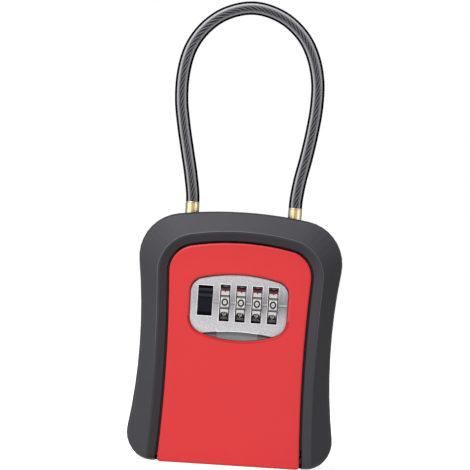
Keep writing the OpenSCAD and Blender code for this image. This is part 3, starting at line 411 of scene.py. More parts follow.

# %% [markdown]
# ## Steel and coat of the cable
# The rope's coat is smoky and clear. Seen straight on, the eye looks through it onto the strands.
# Seen at a slant, it looks through more of it, so the coat turns solid and grey, and its outline
# black: the grey band is painted sheen, as the coat's own specular shine is off, and the black
# outline is painted shade. Real glass-like refraction is slow and grainy in such a thin tube. Alpha
# that rises with
# the slant gives the same look at once, and it lets the lamps through to the strands.

# %% Steel and coat of the cable
# The strands' colour goes black towards their sides, which paints the shade between them.
strand_steel = finish("strand steel", (0.2, 0.2, 0.21), 0.5, metallic=0.1, mottle=0.2,
                      mottle_scale=400, grain_mm=0.01, specular=0.2, slant_colours=[
                          (0, (0.22, 0.21, 0.23)), (0.15, (0.16, 0.155, 0.165)),
                          (0.5, (0.004, 0.004, 0.004))])
COAT_SHEEN_GREY = (0.37, 0.36, 0.385)
cable_coat = finish("cable coat", COAT_SHEEN_GREY, 0.5, mottle=0.05, grain_mm=0.006, grain_scale=900,
                    specular=0.0, slant_colours=[
                        (0, (0.06, 0.059, 0.063)), (0.04, (0.105, 0.102, 0.109)),
                        (0.16, COAT_SHEEN_GREY), (0.25, (0.33, 0.32, 0.345)),
                        (0.3, OUTLINE_SHADE_BLACK), (1, (0.002, 0.002, 0.003))],
                    slant_alpha=[(0, 0.3), (0.04, 0.5), (0.14, 1), (1, 1)])
print("materials so far, with the frame's own:", len(bpy.data.materials))

# %% [markdown]
# ## Pieces that ride on the CAD model
# A maker fits each trim part to the casting that carries it. Here every new piece rides on a CAD
# body, takes a finish and, where it stands for a CAD node, hides that node. This could be written
# out for each piece, but in one helper none is forgotten, and nothing is left behind when the door
# opens.

# %% Helpers for pieces
def add_piece(piece, body, replaces=()):
    """Links a piece, lets it ride on a body and hides the nodes it stands for."""
    bpy.context.scene.collection.objects.link(piece)
    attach(piece, body)
    if replaces:
        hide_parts(*replaces)
    return piece


def mesh_piece(name, points_mm, faces, body, material, replaces=(), smooth_deg=35):
    """A mesh piece from points in millimetres; edges sharper than smooth_deg stay crisp."""
    mesh = bpy.data.meshes.new(name)
    mesh.from_pydata([Vector(p) * MM for p in points_mm], [], faces)
    mesh.validate()
    mesh.materials.append(material)
    mesh.shade_smooth()
    mesh.set_sharp_from_angle(angle=math.radians(smooth_deg))
    return add_piece(bpy.data.objects.new(name, mesh), body, replaces)


print("CAD nodes that pieces may stand for:", len(frame["nodes"]))

# %% [markdown]
# ## Shackle cable
# The shackle is a steel rope in a thick smoky coat. A few long Bezier arcs could draw it, but the
# real cable bulges a little on both sides, so its middle line has a point every centimetre and a
# slope at each. The points repeat the route of the CAD cable.

# %% Cable route
SHACKLE_Y, CABLE_R = 7.0, 3.15
FERRULE_X, FERRULE_TOP = 24.0, 119.5
cable_line = [(-FERRULE_X, 0), (-25.5, 11.5), (-28, 23.5), (-30.5, 35.5), (-32.3, 47.5),
              (-32.2, 59.5), (-29.9, 70.5), (-24.9, 79.5), (-17.6, 86.5), (-9.3, 90.5), (-1, 91.9),
              (7.3, 90.5), (15.6, 86.5), (23, 79.5), (27.9, 70.5), (30.6, 59.5), (30.8, 47.5),
              (29.5, 35.5), (27.5, 23.5), (25.1, 11.5), (FERRULE_X, 0)]
route = [Vector((x, SHACKLE_Y, FERRULE_TOP + up)) for x, up in cable_line]


def route_slopes(points):
    """Slope at each point: level with its neighbours, and upright where the cable leaves."""
    slopes = [(b - a) / 2 for a, b in zip(points[:-2], points[2:])]
    first, last = (points[1] - points[0]).length, (points[-1] - points[-2]).length
    return [Vector((0, 0, first))] + slopes + [Vector((0, 0, -last))]


def along_route(points, slopes, steps):
    """Points on the smooth line through the route, with steps pieces between two points."""
    line = []
    for i in range(len(points) - 1):
        for k in range(steps):
            t = k / steps
            line.append((2 * t**3 - 3 * t**2 + 1) * points[i] + (t**3 - 2 * t**2 + t) * slopes[i]
                        + (3 * t**2 - 2 * t**3) * points[i + 1] + (t**3 - t**2) * slopes[i + 1])
    return line + [points[-1]]


slopes = route_slopes(route)

# %% [markdown]
# ### Coat
# The coat is a plain tube that is extruded over the rope. A curve with a round bevel is the
# shortest way to it: it stays a curve that anyone can edit, and its length can be measured.

# %% Coat
coat_curve = bpy.data.curves.new("cable_coat", "CURVE")
coat_curve.dimensions = "3D"
coat_curve.bevel_depth = CABLE_R * MM
coat_curve.bevel_resolution = 8
coat_curve.resolution_u = 12
coat_curve.use_fill_caps = True
coat_line = coat_curve.splines.new("BEZIER")
coat_line.bezier_points.add(len(route) - 1)
for knot, point, slope in zip(coat_line.bezier_points, route, slopes):
    knot.co = point * MM
    knot.handle_left_type = knot.handle_right_type = "FREE"
    knot.handle_left = (point - slope / 3) * MM
    knot.handle_right = (point + slope / 3) * MM
coat_curve.materials.append(cable_coat)
coat = add_piece(bpy.data.objects.new("cable_coat", coat_curve), "shackle", ["cable"])
print("coat: a curve with", len(route), "points")

# %% [markdown]
# ### Strands
# The rope's lay shows through the middle of the coat as fine diagonal lines. A painted pattern
# would slide or stretch on the bend, so the strands are real: seven wind round a core. Each one is
# a row of rings, and each ring stands square to the cable where it is.

# %% Faces between rings of points
def ring_faces(rings, around, closed=False):
    """Quads that join equally long rings of points; closed joins the last ring to the first."""
    faces = []
    for i in range(rings if closed else rings - 1):
        a, b = i * around, (i + 1) % rings * around
        for j in range(around):
            k = (j + 1) % around
            faces.append((a + j, a + k, b + k, b + j))
    return faces


def tube_faces(rings, around):
    """Faces of a row of rings with a flat face at either end."""
    last = (rings - 1) * around
    return ring_faces(rings, around) + [tuple(reversed(range(around))),
                                        tuple(last + k for k in range(around))]


def shifted(faces, base):
    """The same faces for points that stand base places further down a list."""
    return [tuple(base + i for i in face) for face in faces]


print("a cube as two rings of four has", len(tube_faces(2, 4)), "faces")

# %% Strands
STRANDS, STRAND_R, CORE_R, STRAND_SIDES = 7, 0.55, 0.8, 7
LAY_R, LAY_LENGTH, LAY_STEPS = 1.4, 21.0, 26
path = along_route(route, slopes, LAY_STEPS)


def strand_points(offset, lay_r, strand_r):
    """Points round a strand that winds about the cable's middle line."""
    points, travelled = [], 0.0
    for i, here in enumerate(path):
        ahead = (path[min(i + 1, len(path) - 1)] - path[max(i - 1, 0)]).normalized()
        travelled += (here - path[i - 1]).length if i else 0
        side, back = ahead.cross(Vector((0, 1, 0))).normalized(), Vector((0, 1, 0))
        angle = offset - 2 * math.pi * travelled / LAY_LENGTH
        out = side * math.cos(angle) + back * math.sin(angle)
        middle = here + out * lay_r
        across = ahead.cross(out)
        for k in range(STRAND_SIDES):
            a = 2 * math.pi * k / STRAND_SIDES
            points.append(middle + (out * math.cos(a) + across * math.sin(a)) * strand_r)
    return points


windings = [(2 * math.pi * n / STRANDS, LAY_R, STRAND_R) for n in range(STRANDS)] + [(0, 0, CORE_R)]
strand_verts, strand_faces = [], []
for winding in windings:
    strand_faces += shifted(tube_faces(len(path), STRAND_SIDES), len(strand_verts))
    strand_verts += strand_points(*winding)
strands = mesh_piece("cable_strands", strand_verts, strand_faces, "shackle",
                     strand_steel, smooth_deg=70)
print("strand faces:", len(strand_faces))

# %% [markdown]
# ## Brass ends
# The cable's ends are turned brass pins, crimped onto the rope. A cylinder with a bevel would miss
# the small steps that catch the light. A lathe profile, as the turner's drawing has it, gives each
# pin its chamfers, the crimped ring below the cable and the groove that the catch grips.

# %% Brass ends
LATHE_SIDES = 48
ferrule_profile = [(2.75, 93.5), (3.25, 94.0), (3.25, 96.8), (3.05, 97.0), (2.0, 97.0), (2.0, 99.0),
                   (3.05, 99.0), (3.25, 99.2), (3.25, 118.7), (3.12, 118.8), (3.12, 119.0),
                   (3.25, 119.1), (3.25, 119.35), (3.1, 119.5)]


def turned_ferrule(side, x):
    """A brass pin about an upright axis, from the profile's (radius, height) in millimetres."""
    turns = [2 * math.pi * k / LATHE_SIDES for k in range(LATHE_SIDES)]
    verts = [(x + r * math.cos(a), SHACKLE_Y + r * math.sin(a), z)
             for r, z in ferrule_profile for a in turns]
    faces = tube_faces(len(ferrule_profile), LATHE_SIDES)
    return mesh_piece("ferrule_%s_turned" % side, verts, faces, "shackle", polished_brass,
                      ["ferrule_%s" % side], smooth_deg=25)


ferrules = [turned_ferrule("left", -FERRULE_X), turned_ferrule("right", FERRULE_X)]
print("brass ends:", [piece.name for piece in ferrules])

# %% [markdown]
# ## Finishes on the CAD pieces
# Most CAD pieces already have the right shape and keep it. Each could be remade in Blender, but that
# would only risk its fit. They need no more than their finish, by the slot in the record. The hinge
# pins get a near-black steel, unlike the other steel.

# %% Dress the CAD pieces
SLOT_FINISH = {"case": case_coat, "door": door_paint, "silver": plate_silver, "dials": dial_plating,
               "button": button_black, "zinc": cast_zinc, "steel": plated_steel,
               "brass": turned_brass, "cable": cable_coat}
slot_of = {s["node"]: s["material_slot"] for s in frame["record"]["subparts"]}
for name, node in frame["nodes"].items():
    node.data.materials.clear()
    node.data.materials.append(dark_steel if name == "hinge_pins" else SLOT_FINISH[slot_of[name]])
print("dressed nodes:", len(frame["nodes"]))

# %% [markdown]
# ## Ridge of the housing
# Where the outer slope meets the chamfer round the door, the ridge shows as a fine light line that
# fades towards the foot: a highlight. It could be painted by how sharp the surface bends, but on a
# lofted skin that comes out patchy. A thin bead in a lighter grey, as painted highlight, is surer.
# It follows the CAD housing's foremost points and gets thinner on its way down.

# %% Helpers for edges of the housing
AROUND_FROM_Z = 50


def housing_edge(y_low, y_high, half_w, z_low):
    """The housing's points between two depths, from the left foot over the top to the right."""
    points = [[c / MM for c in v.co] for v in frame["nodes"]["housing"].data.vertices]
    found = {(round(x, 2), round(z, 2)) for x, y, z in points
             if y_low < y < y_high and abs(x) < half_w and z > z_low}
    return sorted(found, key=lambda p: math.atan2(p[0], p[1] - AROUND_FROM_Z))


def round_line(name, points_mm, radius_mm, resolution, caps=True, widths=None):
    """A curve of straight steps with a round section; widths scale the section at each point."""
    curve = bpy.data.curves.new(name, "CURVE")
    curve.dimensions = "3D"
    curve.bevel_depth = radius_mm * MM
    curve.bevel_resolution = resolution
    curve.use_fill_caps = caps
    line = curve.splines.new("POLY")
    line.points.add(len(points_mm) - 1)
    for point, place, width in zip(line.points, points_mm, widths or [1] * len(points_mm)):
        point.co = (*(Vector(place) * MM), 1)
        point.radius = width
    return curve


FOREMOST, HAIR = -20.0, 0.02
ridge = housing_edge(y_low=FOREMOST - HAIR, y_high=FOREMOST + HAIR, half_w=50, z_low=-1)
print("ridge points:", len(ridge))

# %% Ridge line
BEAD_R, BEAD_THINNEST = 0.3, 0.4
FADE_FOOT_Z, FADE_LENGTH = 10, 60
bead_widths = [BEAD_THINNEST + (1 - BEAD_THINNEST) * min(1, max(0, (z - FADE_FOOT_Z) / FADE_LENGTH))
               for _, z in ridge]
bead = round_line("ridge_bead", [(x, FOREMOST + BEAD_R, z) for x, z in ridge], BEAD_R, 2,
                  caps=False, widths=bead_widths)
bead.materials.append(ridge_highlight_paint)
add_piece(bpy.data.objects.new("ridge_bead", bead), "housing")
print("ridge thins to %.2f mm" % (2 * BEAD_R * min(bead_widths)))

# %% [markdown]
# ## Painted shade in the gap round the door
# A black strip lies in the gap between door and housing and paints the deep shade there, so the gap
# looks black. A darker coat in the gap would still catch light on its far wall. A strip closes the
# view. It sits in the housing, follows the edge of its opening and stays clear of the door.

# %% Painted shade round the door
GAP_SHADE_FRONT, GAP_SHADE_BACK, GAP_SHADE_OUT, GAP_SHADE_IN = -17.2, -16.4, 0.03, 0.85
GAP_SHADE_SECTION = ((GAP_SHADE_OUT, GAP_SHADE_BACK), (GAP_SHADE_OUT, GAP_SHADE_FRONT), (-GAP_SHADE_IN, GAP_SHADE_FRONT),
                (-GAP_SHADE_IN, GAP_SHADE_BACK))
gap_edge = housing_edge(y_low=-17.66, y_high=-17.46, half_w=34.2, z_low=5)
gap_points = []
for i, (x, z) in enumerate(gap_edge):
    (ax, az), (bx, bz) = gap_edge[max(i - 1, 0)], gap_edge[min(i + 1, len(gap_edge) - 1)]
    long = math.hypot(bx - ax, bz - az)
    out_x, out_z = -(bz - az) / long, (bx - ax) / long
    gap_points += [(x + out_x * out, y, z + out_z * out) for out, y in GAP_SHADE_SECTION]
gap_faces = tube_faces(len(gap_edge), len(GAP_SHADE_SECTION))
mesh_piece("door_gap_shade", gap_points, gap_faces, "housing", painted_shade_black)
print("seal points:", len(gap_edge), gap_edge[0], gap_edge[-1])

# %% [markdown]
# ## Escutcheon face
# The silver plate is a die casting: its face is slightly dished, its edge rolls back under the
# red door's flared opening, and its lower edge has a thumb recess. Cutting windows with Booleans
# leaves ragged faces that shade badly. A grid of points whose rows and columns follow the windows
# gives one clean skin with real openings in it, laid over the CAD plate.

# %% Outline of the escutcheon
PLATE_X, DIAL_Z = 0.25, 74.5
PLATE_TOP_W, PLATE_LOW_W, PLATE_TOP_R, PLATE_LOW_R = 44.9, 44.4, 6.5, 8.0
PLATE_UP, PLATE_DOWN, PLATE_TOP_CROWN_R, PLATE_LOW_CROWN_R = 12.7, 17.3, 72.4, 50.7
ARC_STEPS = 24


def arc_points(centre, radius, start, end):
    """Points of an arc after its first point; angles in radians."""
    turns = [start + (end - start) * i / ARC_STEPS for i in range(1, ARC_STEPS + 1)]
    return [(centre[0] + radius * math.cos(a), centre[1] + radius * math.sin(a)) for a in turns]


def plate_outline(grow):
    """Closed outline of the plate: two crowns and four corners, all tangent."""
    top, low = PLATE_TOP_W / 2 - PLATE_TOP_R, PLATE_LOW_W / 2 - PLATE_LOW_R
    top_c = DIAL_Z + PLATE_UP - PLATE_TOP_CROWN_R
    low_c = DIAL_Z - PLATE_DOWN + PLATE_LOW_CROWN_R
    z_top = top_c + math.sqrt((PLATE_TOP_CROWN_R - PLATE_TOP_R) ** 2 - top * top)
    z_low = low_c - math.sqrt((PLATE_LOW_CROWN_R - PLATE_LOW_R) ** 2 - low * low)
    step_x, step_z = low - top, z_low - z_top
    side = math.atan2(step_z, step_x)
    side += math.acos((PLATE_TOP_R - PLATE_LOW_R) / math.hypot(step_x, step_z))
    a_low, a_top = math.atan2(z_low - low_c, low), math.atan2(z_top - top_c, top)
    half = [(0, low_c - PLATE_LOW_CROWN_R - grow)]
    half += arc_points((0, low_c), PLATE_LOW_CROWN_R + grow, -math.pi / 2, a_low)
    half += arc_points((low, z_low), PLATE_LOW_R + grow, a_low, side)
    half += arc_points((top, z_top), PLATE_TOP_R + grow, side, a_top)
    half += arc_points((0, top_c), PLATE_TOP_CROWN_R + grow, a_top, math.pi / 2)
    return [(PLATE_X + x, z) for x, z in half + [(-x, z) for x, z in half[-2:0:-1]]]


face_outline = plate_outline(-HAIR)
print("outline points:", len(face_outline))

# %% [markdown]
# The face needs two measures of that outline: how far a point lies from it, for the rolled edge,
# and where an upright line meets it, for the ends of the grid's columns. Blender could answer both
# with ray casts against a mesh, but for a flat outline plain geometry is exact and quick.

# %% Measures on the outline
def distance_to(outline, x, z):
    """Distance from a point to a closed outline."""
    best = 1e9
    for (ax, az), (bx, bz) in zip(outline, outline[1:] + outline[:1]):
        dx, dz = bx - ax, bz - az
        t = max(0.0, min(1.0, ((x - ax) * dx + (z - az) * dz) / (dx * dx + dz * dz)))
        best = min(best, math.hypot(x - ax - t * dx, z - az - t * dz))
    return best


def heights_at(outline, x):
    """Lowest and highest z where the upright line through x meets a closed outline."""
    found = [az + (x - ax) / (bx - ax) * (bz - az)
             for (ax, az), (bx, bz) in zip(outline, outline[1:] + outline[:1])
             if ax != bx and min(ax, bx) <= x <= max(ax, bx)]
    return min(found), max(found)


SCOOP_R, SCOOP_TOP, SCOOP_HALF = 91.5, 61.3, 17


def scoop_edge(x):
    """Height of the thumb recess's upper edge at x."""
    return SCOOP_TOP - SCOOP_R + math.sqrt(SCOOP_R**2 - (x - PLATE_X) ** 2)


print("plate height in the middle:", [round(z, 2) for z in heights_at(face_outline, PLATE_X)])

# %% [markdown]
# Each dial looks out of a tall window, and the button out of a slot. The grid has a column at every
# side of these openings and a row at their upper and lower ends, so that leaving out the cells
# between them opens a clean hole. Towards the plate's left and right ends the columns crowd
# together, as a circle's do, to follow the round corners.

# %% Windows and grid of the face
DIAL_PITCH, DIAL_ROW_X, DIALS = 7.33, 4.7, 4
WINDOW_W, WINDOW_UP, WINDOW_DOWN = 4.6, 7.95, 8.9
BUTTON_X, SLOT_W, SLOT_LOW, SLOT_HIGH = -15.25, 6.8, DIAL_Z - 6.7, DIAL_Z + 7.1
dial_places = [DIAL_ROW_X + (i - (DIALS - 1) / 2) * DIAL_PITCH for i in range(DIALS)]
openings = [(x - WINDOW_W / 2, x + WINDOW_W / 2, DIAL_Z - WINDOW_DOWN, DIAL_Z + WINDOW_UP)
            for x in dial_places]
openings.append((BUTTON_X - SLOT_W / 2, BUTTON_X + SLOT_W / 2, SLOT_LOW, SLOT_HIGH))
FACE_STEP, EDGE_ANGLES = 0.8, (66, 70, 74, 78, 81, 84, 86, 88, 89, 90)


def between(stops, longest):
    """All stops with even steps no longer than longest in between."""
    line = []
    for a, b in zip(stops, stops[1:]):
        n = max(1, math.ceil((b - a) / longest))
        line += [a + (b - a) * i / n for i in range(n)]
    return line + [stops[-1]]


half_w = max(x for x, _ in face_outline) - PLATE_X - 0.01
edge_steps = [half_w * math.sin(math.radians(a)) for a in EDGE_ANGLES]
sides = sorted({v for o in openings for v in o[:2]})
columns = [PLATE_X - v for v in reversed(edge_steps[1:])]
columns += between([PLATE_X - edge_steps[0], *sides, PLATE_X + edge_steps[0]], FACE_STEP)
columns += [PLATE_X + v for v in edge_steps[1:]]
levels = between([DIAL_Z - PLATE_DOWN, DIAL_Z - WINDOW_DOWN, SLOT_LOW, SLOT_HIGH,
                  DIAL_Z + WINDOW_UP, DIAL_Z + PLATE_UP], FACE_STEP)
print("grid:", len(columns), "columns and", len(levels), "rows round", len(openings), "openings")

# %% [markdown]
# Now the grid becomes a skin. Each point moves up or down its column until it is inside the
# outline, which makes points at the ends fall together: a cell with two of them there turns into a
# triangle, and one with fewer than three different points is left out. The depth comes from the
# rolled edge and from two shallow troughs that run down beside the windows.

# %% Skin of the face
PLATE_FRONT, FACE_LIFT, ROLL_W, ROLL_D = -16.8, 0.34, 1.6, 0.30
TROUGHS = ((19.8, 0.16, 1.1), (-20.4, 0.08, 0.9))  # middle, depth and half width of each
face_points, face_faces, point_at = [], [], {}
for i, x in enumerate(columns):
    low, high = heights_at(face_outline, x)
    low = max(low, scoop_edge(x)) if abs(x - PLATE_X) < SCOOP_HALF else low
    dent = sum(depth * math.exp(-((x - at) / wide) ** 2) for at, depth, wide in TROUGHS)
    for j, level in enumerate(levels):
        z = min(max(level, low), high)
        rise = 1 - min(1.0, distance_to(face_outline, x, z) / ROLL_W)
        point_at[i, j] = len(face_points)
        face_points.append((x, PLATE_FRONT - FACE_LIFT + ROLL_D * rise * rise + dent, z))
for i in range(len(columns) - 1):
    for j in range(len(levels) - 1):
        x, z = (columns[i] + columns[i + 1]) / 2, (levels[j] + levels[j + 1]) / 2
        if any(a < x < b and c < z < d for a, b, c, d in openings):
            continue
        corners = {}
        for k in (point_at[i, j], point_at[i + 1, j], point_at[i + 1, j + 1], point_at[i, j + 1]):
            corners.setdefault(tuple(round(v, 4) for v in face_points[k]), k)
        if len(corners) > 2:
            face_faces.append(tuple(corners.values()))
mesh_piece("escutcheon_face", face_points, face_faces, "door", plate_silver,
           smooth_deg=50)
print("faces of the skin:", len(face_faces))

# %% [markdown]
# ## Painted shadow between the plate and the door
# The plate sits in the door's opening with a thin black line round it, wider at the upper corners:
# the painted shadow of the door's lip. A line of one width could be made by the bevel of a curve,
# but this one swells, so it is a band between the plate's outline and a second one that is drawn in
# by its own width at each point.

# %% Painted shadow between the plate and the door
PLATE_SHADOW_Y, PLATE_SHADOW_BACK = PLATE_FRONT - FACE_LIFT - HAIR, PLATE_FRONT - FACE_LIFT + 0.32
LINE_W, LINE_W_TOP, LINE_W_CORNER, CORNER_X = 0.1, 0.05, 0.35, 16
SHADOW_MIDDLE_Z = DIAL_Z - 2
shadow_outer, shadow_inner = plate_outline(0.08), []
for x, z in shadow_outer:
    up = max(0.0, (z - DIAL_Z) / PLATE_UP)
    corner = min(1.0, abs(x - PLATE_X) / CORNER_X) ** 2
    wide = LINE_W + LINE_W_TOP * up + LINE_W_CORNER * up * corner
    far = math.hypot(x - PLATE_X, z - SHADOW_MIDDLE_Z)
    shadow_inner.append((x - (x - PLATE_X) / far * wide, z - (z - SHADOW_MIDDLE_Z) / far * wide))
shadow_points = [(x, y, z) for line, y in (
    (shadow_outer, PLATE_SHADOW_BACK), (shadow_outer, PLATE_SHADOW_Y), (shadow_inner, PLATE_SHADOW_Y),
    (shadow_inner, PLATE_SHADOW_BACK)) for x, z in line]
mesh_piece("plate_shadow", shadow_points, ring_faces(4, len(shadow_outer), closed=True), "door",
           painted_shade_black)
print("points on each line of the seal:", len(shadow_outer))

# %% [markdown]
# ## Lower lip of the door's opening
# The door's opening is flared, and the flare's lower half turns away from the light, so it shows as
# a darker red rim. Shade alone is too weak for it in a soft room. A strip of darker red lies a hair
# in front of the CAD flare as painted shade: five lines, each further out and further forward.

# %% Lower lip of the door's opening
LIP_TOP_Z, LIP_MIDDLE_Z = 68.0, 74
# How far each line lies outside the plate, and its depth
LIP_SECTION = ((0.11, -17.2), (0.2, -17.45), (0.38, -17.7), (0.62, -17.88), (1.15, -18.0))
lip_lines = [[(x, y - HAIR, z) for x, z in plate_outline(grow) if z < LIP_TOP_Z]
             for grow, y in LIP_SECTION]
per_line = min(len(line) for line in lip_lines)
lip_lines = [sorted(line, key=lambda p: math.atan2(p[0] - PLATE_X, LIP_MIDDLE_Z - p[2]))[:per_line]
             for line in lip_lines]
lip_faces = [(a + k, a + k + 1, a + per_line + k + 1, a + per_line + k)
             for a in range(0, per_line * (len(lip_lines) - 1), per_line)
             for k in range(per_line - 1)]
mesh_piece("opening_lip", sum(lip_lines, []), lip_faces, "door", lip_shade_paint)
print("lip faces:", len(lip_faces))

# %% [markdown]
# ## Rims round the windows and the slot
# Each window has a raised edge and walls behind it. The edge's near-white paints its highlight, and
# the walls' black paints their shade. A bevel on the skin would also round its outline. So the rims
# are a piece of their own: a section is carried round each opening, and the faces of its inner wall
# take a second, black material.

# %% Rims round the windows and the slot
RIM_W, RIM_PROUD, RIM_ROUND = 0.28, 0.12, 0.1
RIM_FRONT, WALL_BACK = PLATE_FRONT - FACE_LIFT - RIM_PROUD, PLATE_FRONT + 0.4
RIM_SECTION = ((0.0, WALL_BACK), (0.0, RIM_FRONT + RIM_ROUND), (0.08, RIM_FRONT),
               (RIM_W - 0.08, RIM_FRONT), (RIM_W, RIM_FRONT + RIM_ROUND),
               (RIM_W, PLATE_FRONT + 0.1))
rim_verts, rim_faces = [], []
for x0, x1, z0, z1 in openings:
    rim_faces += shifted(ring_faces(len(RIM_SECTION), 4), len(rim_verts))
    for out, y in RIM_SECTION:
        rim_verts += [(x0 - out, y, z0 - out), (x1 + out, y, z0 - out), (x1 + out, y, z1 + out),
                      (x0 - out, y, z1 + out)]
rims = mesh_piece("window_rims", rim_verts, rim_faces, "door", rim_highlight_silver, smooth_deg=20)
rims.data.materials.append(painted_shade_black)
for face in rims.data.polygons:  # the first four faces of each rim are its inner wall
    if face.index % (4 * (len(RIM_SECTION) - 1)) < 4:
        face.material_index = 1
print("rims:", len(openings))

# %% [markdown]
# ## Index lines
# A light line with a shadow above and below it runs across the plate between the windows. The
# numbers of the code stand level with it. It is a groove in the casting, and a groove this fine
# would need a much finer skin. Three flat strips of box meshes side by side read the same: the light
# one is painted highlight, the two beside it painted shadow.

# %% Helpers for boxes
def box_mesh(low, high):
    """Corners and faces of a box from low to high, in millimetres."""
    (x0, y0, z0), (x1, y1, z1) = low, high
    points = [(x, y, z) for z in (z0, z1) for y in (y0, y1) for x in (x0, x1)]
    faces = [(0, 2, 3, 1), (4, 5, 7, 6), (0, 1, 5, 4), (2, 6, 7, 3), (0, 4, 6, 2), (1, 3, 7, 5)]
    return points, faces


def boxes_piece(name, boxes, body, material, replaces=()):
    """Several boxes as one piece."""
    verts, faces = [], []
    for low, high in boxes:
        points, box_faces = box_mesh(low, high)
        faces += shifted(box_faces, len(verts))
        verts += points
    return mesh_piece(name, verts, faces, body, material, replaces, smooth_deg=30)


print("corners and faces of a box:", [len(part) for part in box_mesh((0, 0, 0), (1, 1, 1))])

# %% Index lines
INDEX_Y, INDEX_RIGHT, STRIP_D = PLATE_FRONT - FACE_LIFT - HAIR, 22.2, 0.2
# Lower and upper edge from the dials' axis, front and finish of each strip
INDEX_STRIPS = {"upper": (0.32, 0.54, INDEX_Y, scoop_shade_silver),
                "lower": (-0.84, -0.50, INDEX_Y, recess_dark),
                "light": (-0.50, 0.32, INDEX_Y + HAIR / 2, index_highlight)}
edges = sorted((o[0] - RIM_W, o[1] + RIM_W) for o in openings)
index_spans = list(zip([e[1] for e in edges], [e[0] for e in edges[1:]] + [INDEX_RIGHT]))
for kind, (z0, z1, y, material) in INDEX_STRIPS.items():
    boxes_piece("index_line_" + kind, [((a, y, DIAL_Z + z0), (b, y + STRIP_D, DIAL_Z + z1))
                                       for a, b in index_spans], "door", material)
print("spans between the windows:", [(round(a, 2), round(b, 2)) for a, b in index_spans])

# %% [markdown]
# ## Thumb recess
# Below the windows the plate is scooped out for the thumb that pulls the door down. Its shade is
# painted: a paler middle in a darker silver and a still darker hollow on either side. The face's
# skin ends at the scoop's edge, so three skins of their own close it. Each runs from the plate's
# lower edge up to the scoop and gets deeper.

# %% Thumb recess
THUMB_HALF, RECESS_HALF, RECESS_ROWS, RECESS_STEP = 9.3, 16.4, 8, 0.6
SIDE_DEPTHS, MIDDLE_DEPTHS = (0.2, 0.95), (0.5, 0.9)  # at the lower and at the upper edge


def recess_piece(name, x0, x1, depths, material):
    """A skin over the thumb recess from x0 to x1, deeper towards its upper edge."""
    verts, lines, per_line = [], between([x0, x1], RECESS_STEP), RECESS_ROWS + 1
    for x in lines:
        low, high = heights_at(face_outline, x)[0], scoop_edge(x) - HAIR
        for k in range(per_line):
            share = k / RECESS_ROWS
            depth = depths[0] + (depths[1] - depths[0]) * share
            verts.append((x, PLATE_FRONT + depth, low + (high - low) * share))
    faces = [(a + k, a + per_line + k, a + per_line + k + 1, a + k + 1)
             for a in range(0, per_line * (len(lines) - 1), per_line) for k in range(RECESS_ROWS)]
    return mesh_piece(name, verts, faces, "door", material)


thumb_left, thumb_right = PLATE_X - THUMB_HALF, PLATE_X + THUMB_HALF
recess_piece("recess_left", PLATE_X - RECESS_HALF, thumb_left, SIDE_DEPTHS, recess_dark)
recess_piece("recess_middle", thumb_left, thumb_right, MIDDLE_DEPTHS, scoop_shade_silver)
recess_piece("recess_right", thumb_right, PLATE_X + RECESS_HALF, SIDE_DEPTHS, recess_dark)
print("recess: three skins, %.1f mm wide in all" % (2 * RECESS_HALF))

# %% [markdown]
# The scoop's upper edge is rolled, with a short tick up at both ends, and its near-white paints the
# highlight on it. It has one width all along, so the helper for a curve with a round section makes
# it in one go.

# %% Bright edge of the thumb recess
EDGE_R, EDGE_STEPS, TICK_OUT, TICK_UP = 0.13, 40, 0.35, 0.9
edge_xs = [thumb_left + 2 * THUMB_HALF * k / EDGE_STEPS for k in range(EDGE_STEPS + 1)]
edge_line = [(x, scoop_edge(x) + 0.05) for x in edge_xs]
edge_line = [(thumb_left - TICK_OUT, edge_line[0][1] + TICK_UP), *edge_line,
             (thumb_right + TICK_OUT, edge_line[-1][1] + TICK_UP)]
recess_lip = round_line("recess_lip", [(x, PLATE_FRONT - FACE_LIFT, z) for x, z in edge_line],
                        EDGE_R, 3)
recess_lip.materials.append(rim_highlight_silver)
add_piece(bpy.data.objects.new("recess_lip", recess_lip), "door")
print("edge points:", len(edge_line))

# %% [markdown]
# ## Dials
# A dial is a ring with ten flats and a groove at each corner, so that a thumb can turn it. A
# cylinder with ten cuts would do, but its cuts meet in hard corners. Here the outline is written
# once as a list of angles and drops, and six such rings make the dial with its small chamfers. The
# side walls and the grooves take darker materials, which paint the shade in them.

# %% Dial shape
DIAL_Y, DIAL_W, DIAL_EDGE = -9.4, 4.2, 0.25
FLAT_R, DIAL_R, BORE_R, NUMBERS = 9.2, 9.4, 6.0, 10
STEP = 2 * math.pi / NUMBERS
# Place in the step from flat to flat, and depth below the dial's edge
FLAT_SECTION = ((-0.41, 0), (-0.15, 0), (0.15, 0), (0.41, 0), (0.445, 0.1), (0.475, 0.55),
                (0.525, 0.55), (0.555, 0.1))
GROOVE_STEPS = (4, 5, 6)


def dial_outline(inset):
    """(y, z) points once round a dial, starting at the middle of the front flat."""
    points = []
    for k in range(NUMBERS):
        for share, drop in FLAT_SECTION:
            angle = (k + share) * STEP
            near = angle - (k if share <= 0.5 else k + 1) * STEP
            r = min(FLAT_R / math.cos(near), DIAL_R) - drop - inset
            points.append((-r * math.cos(angle), r * math.sin(angle)))
    return points


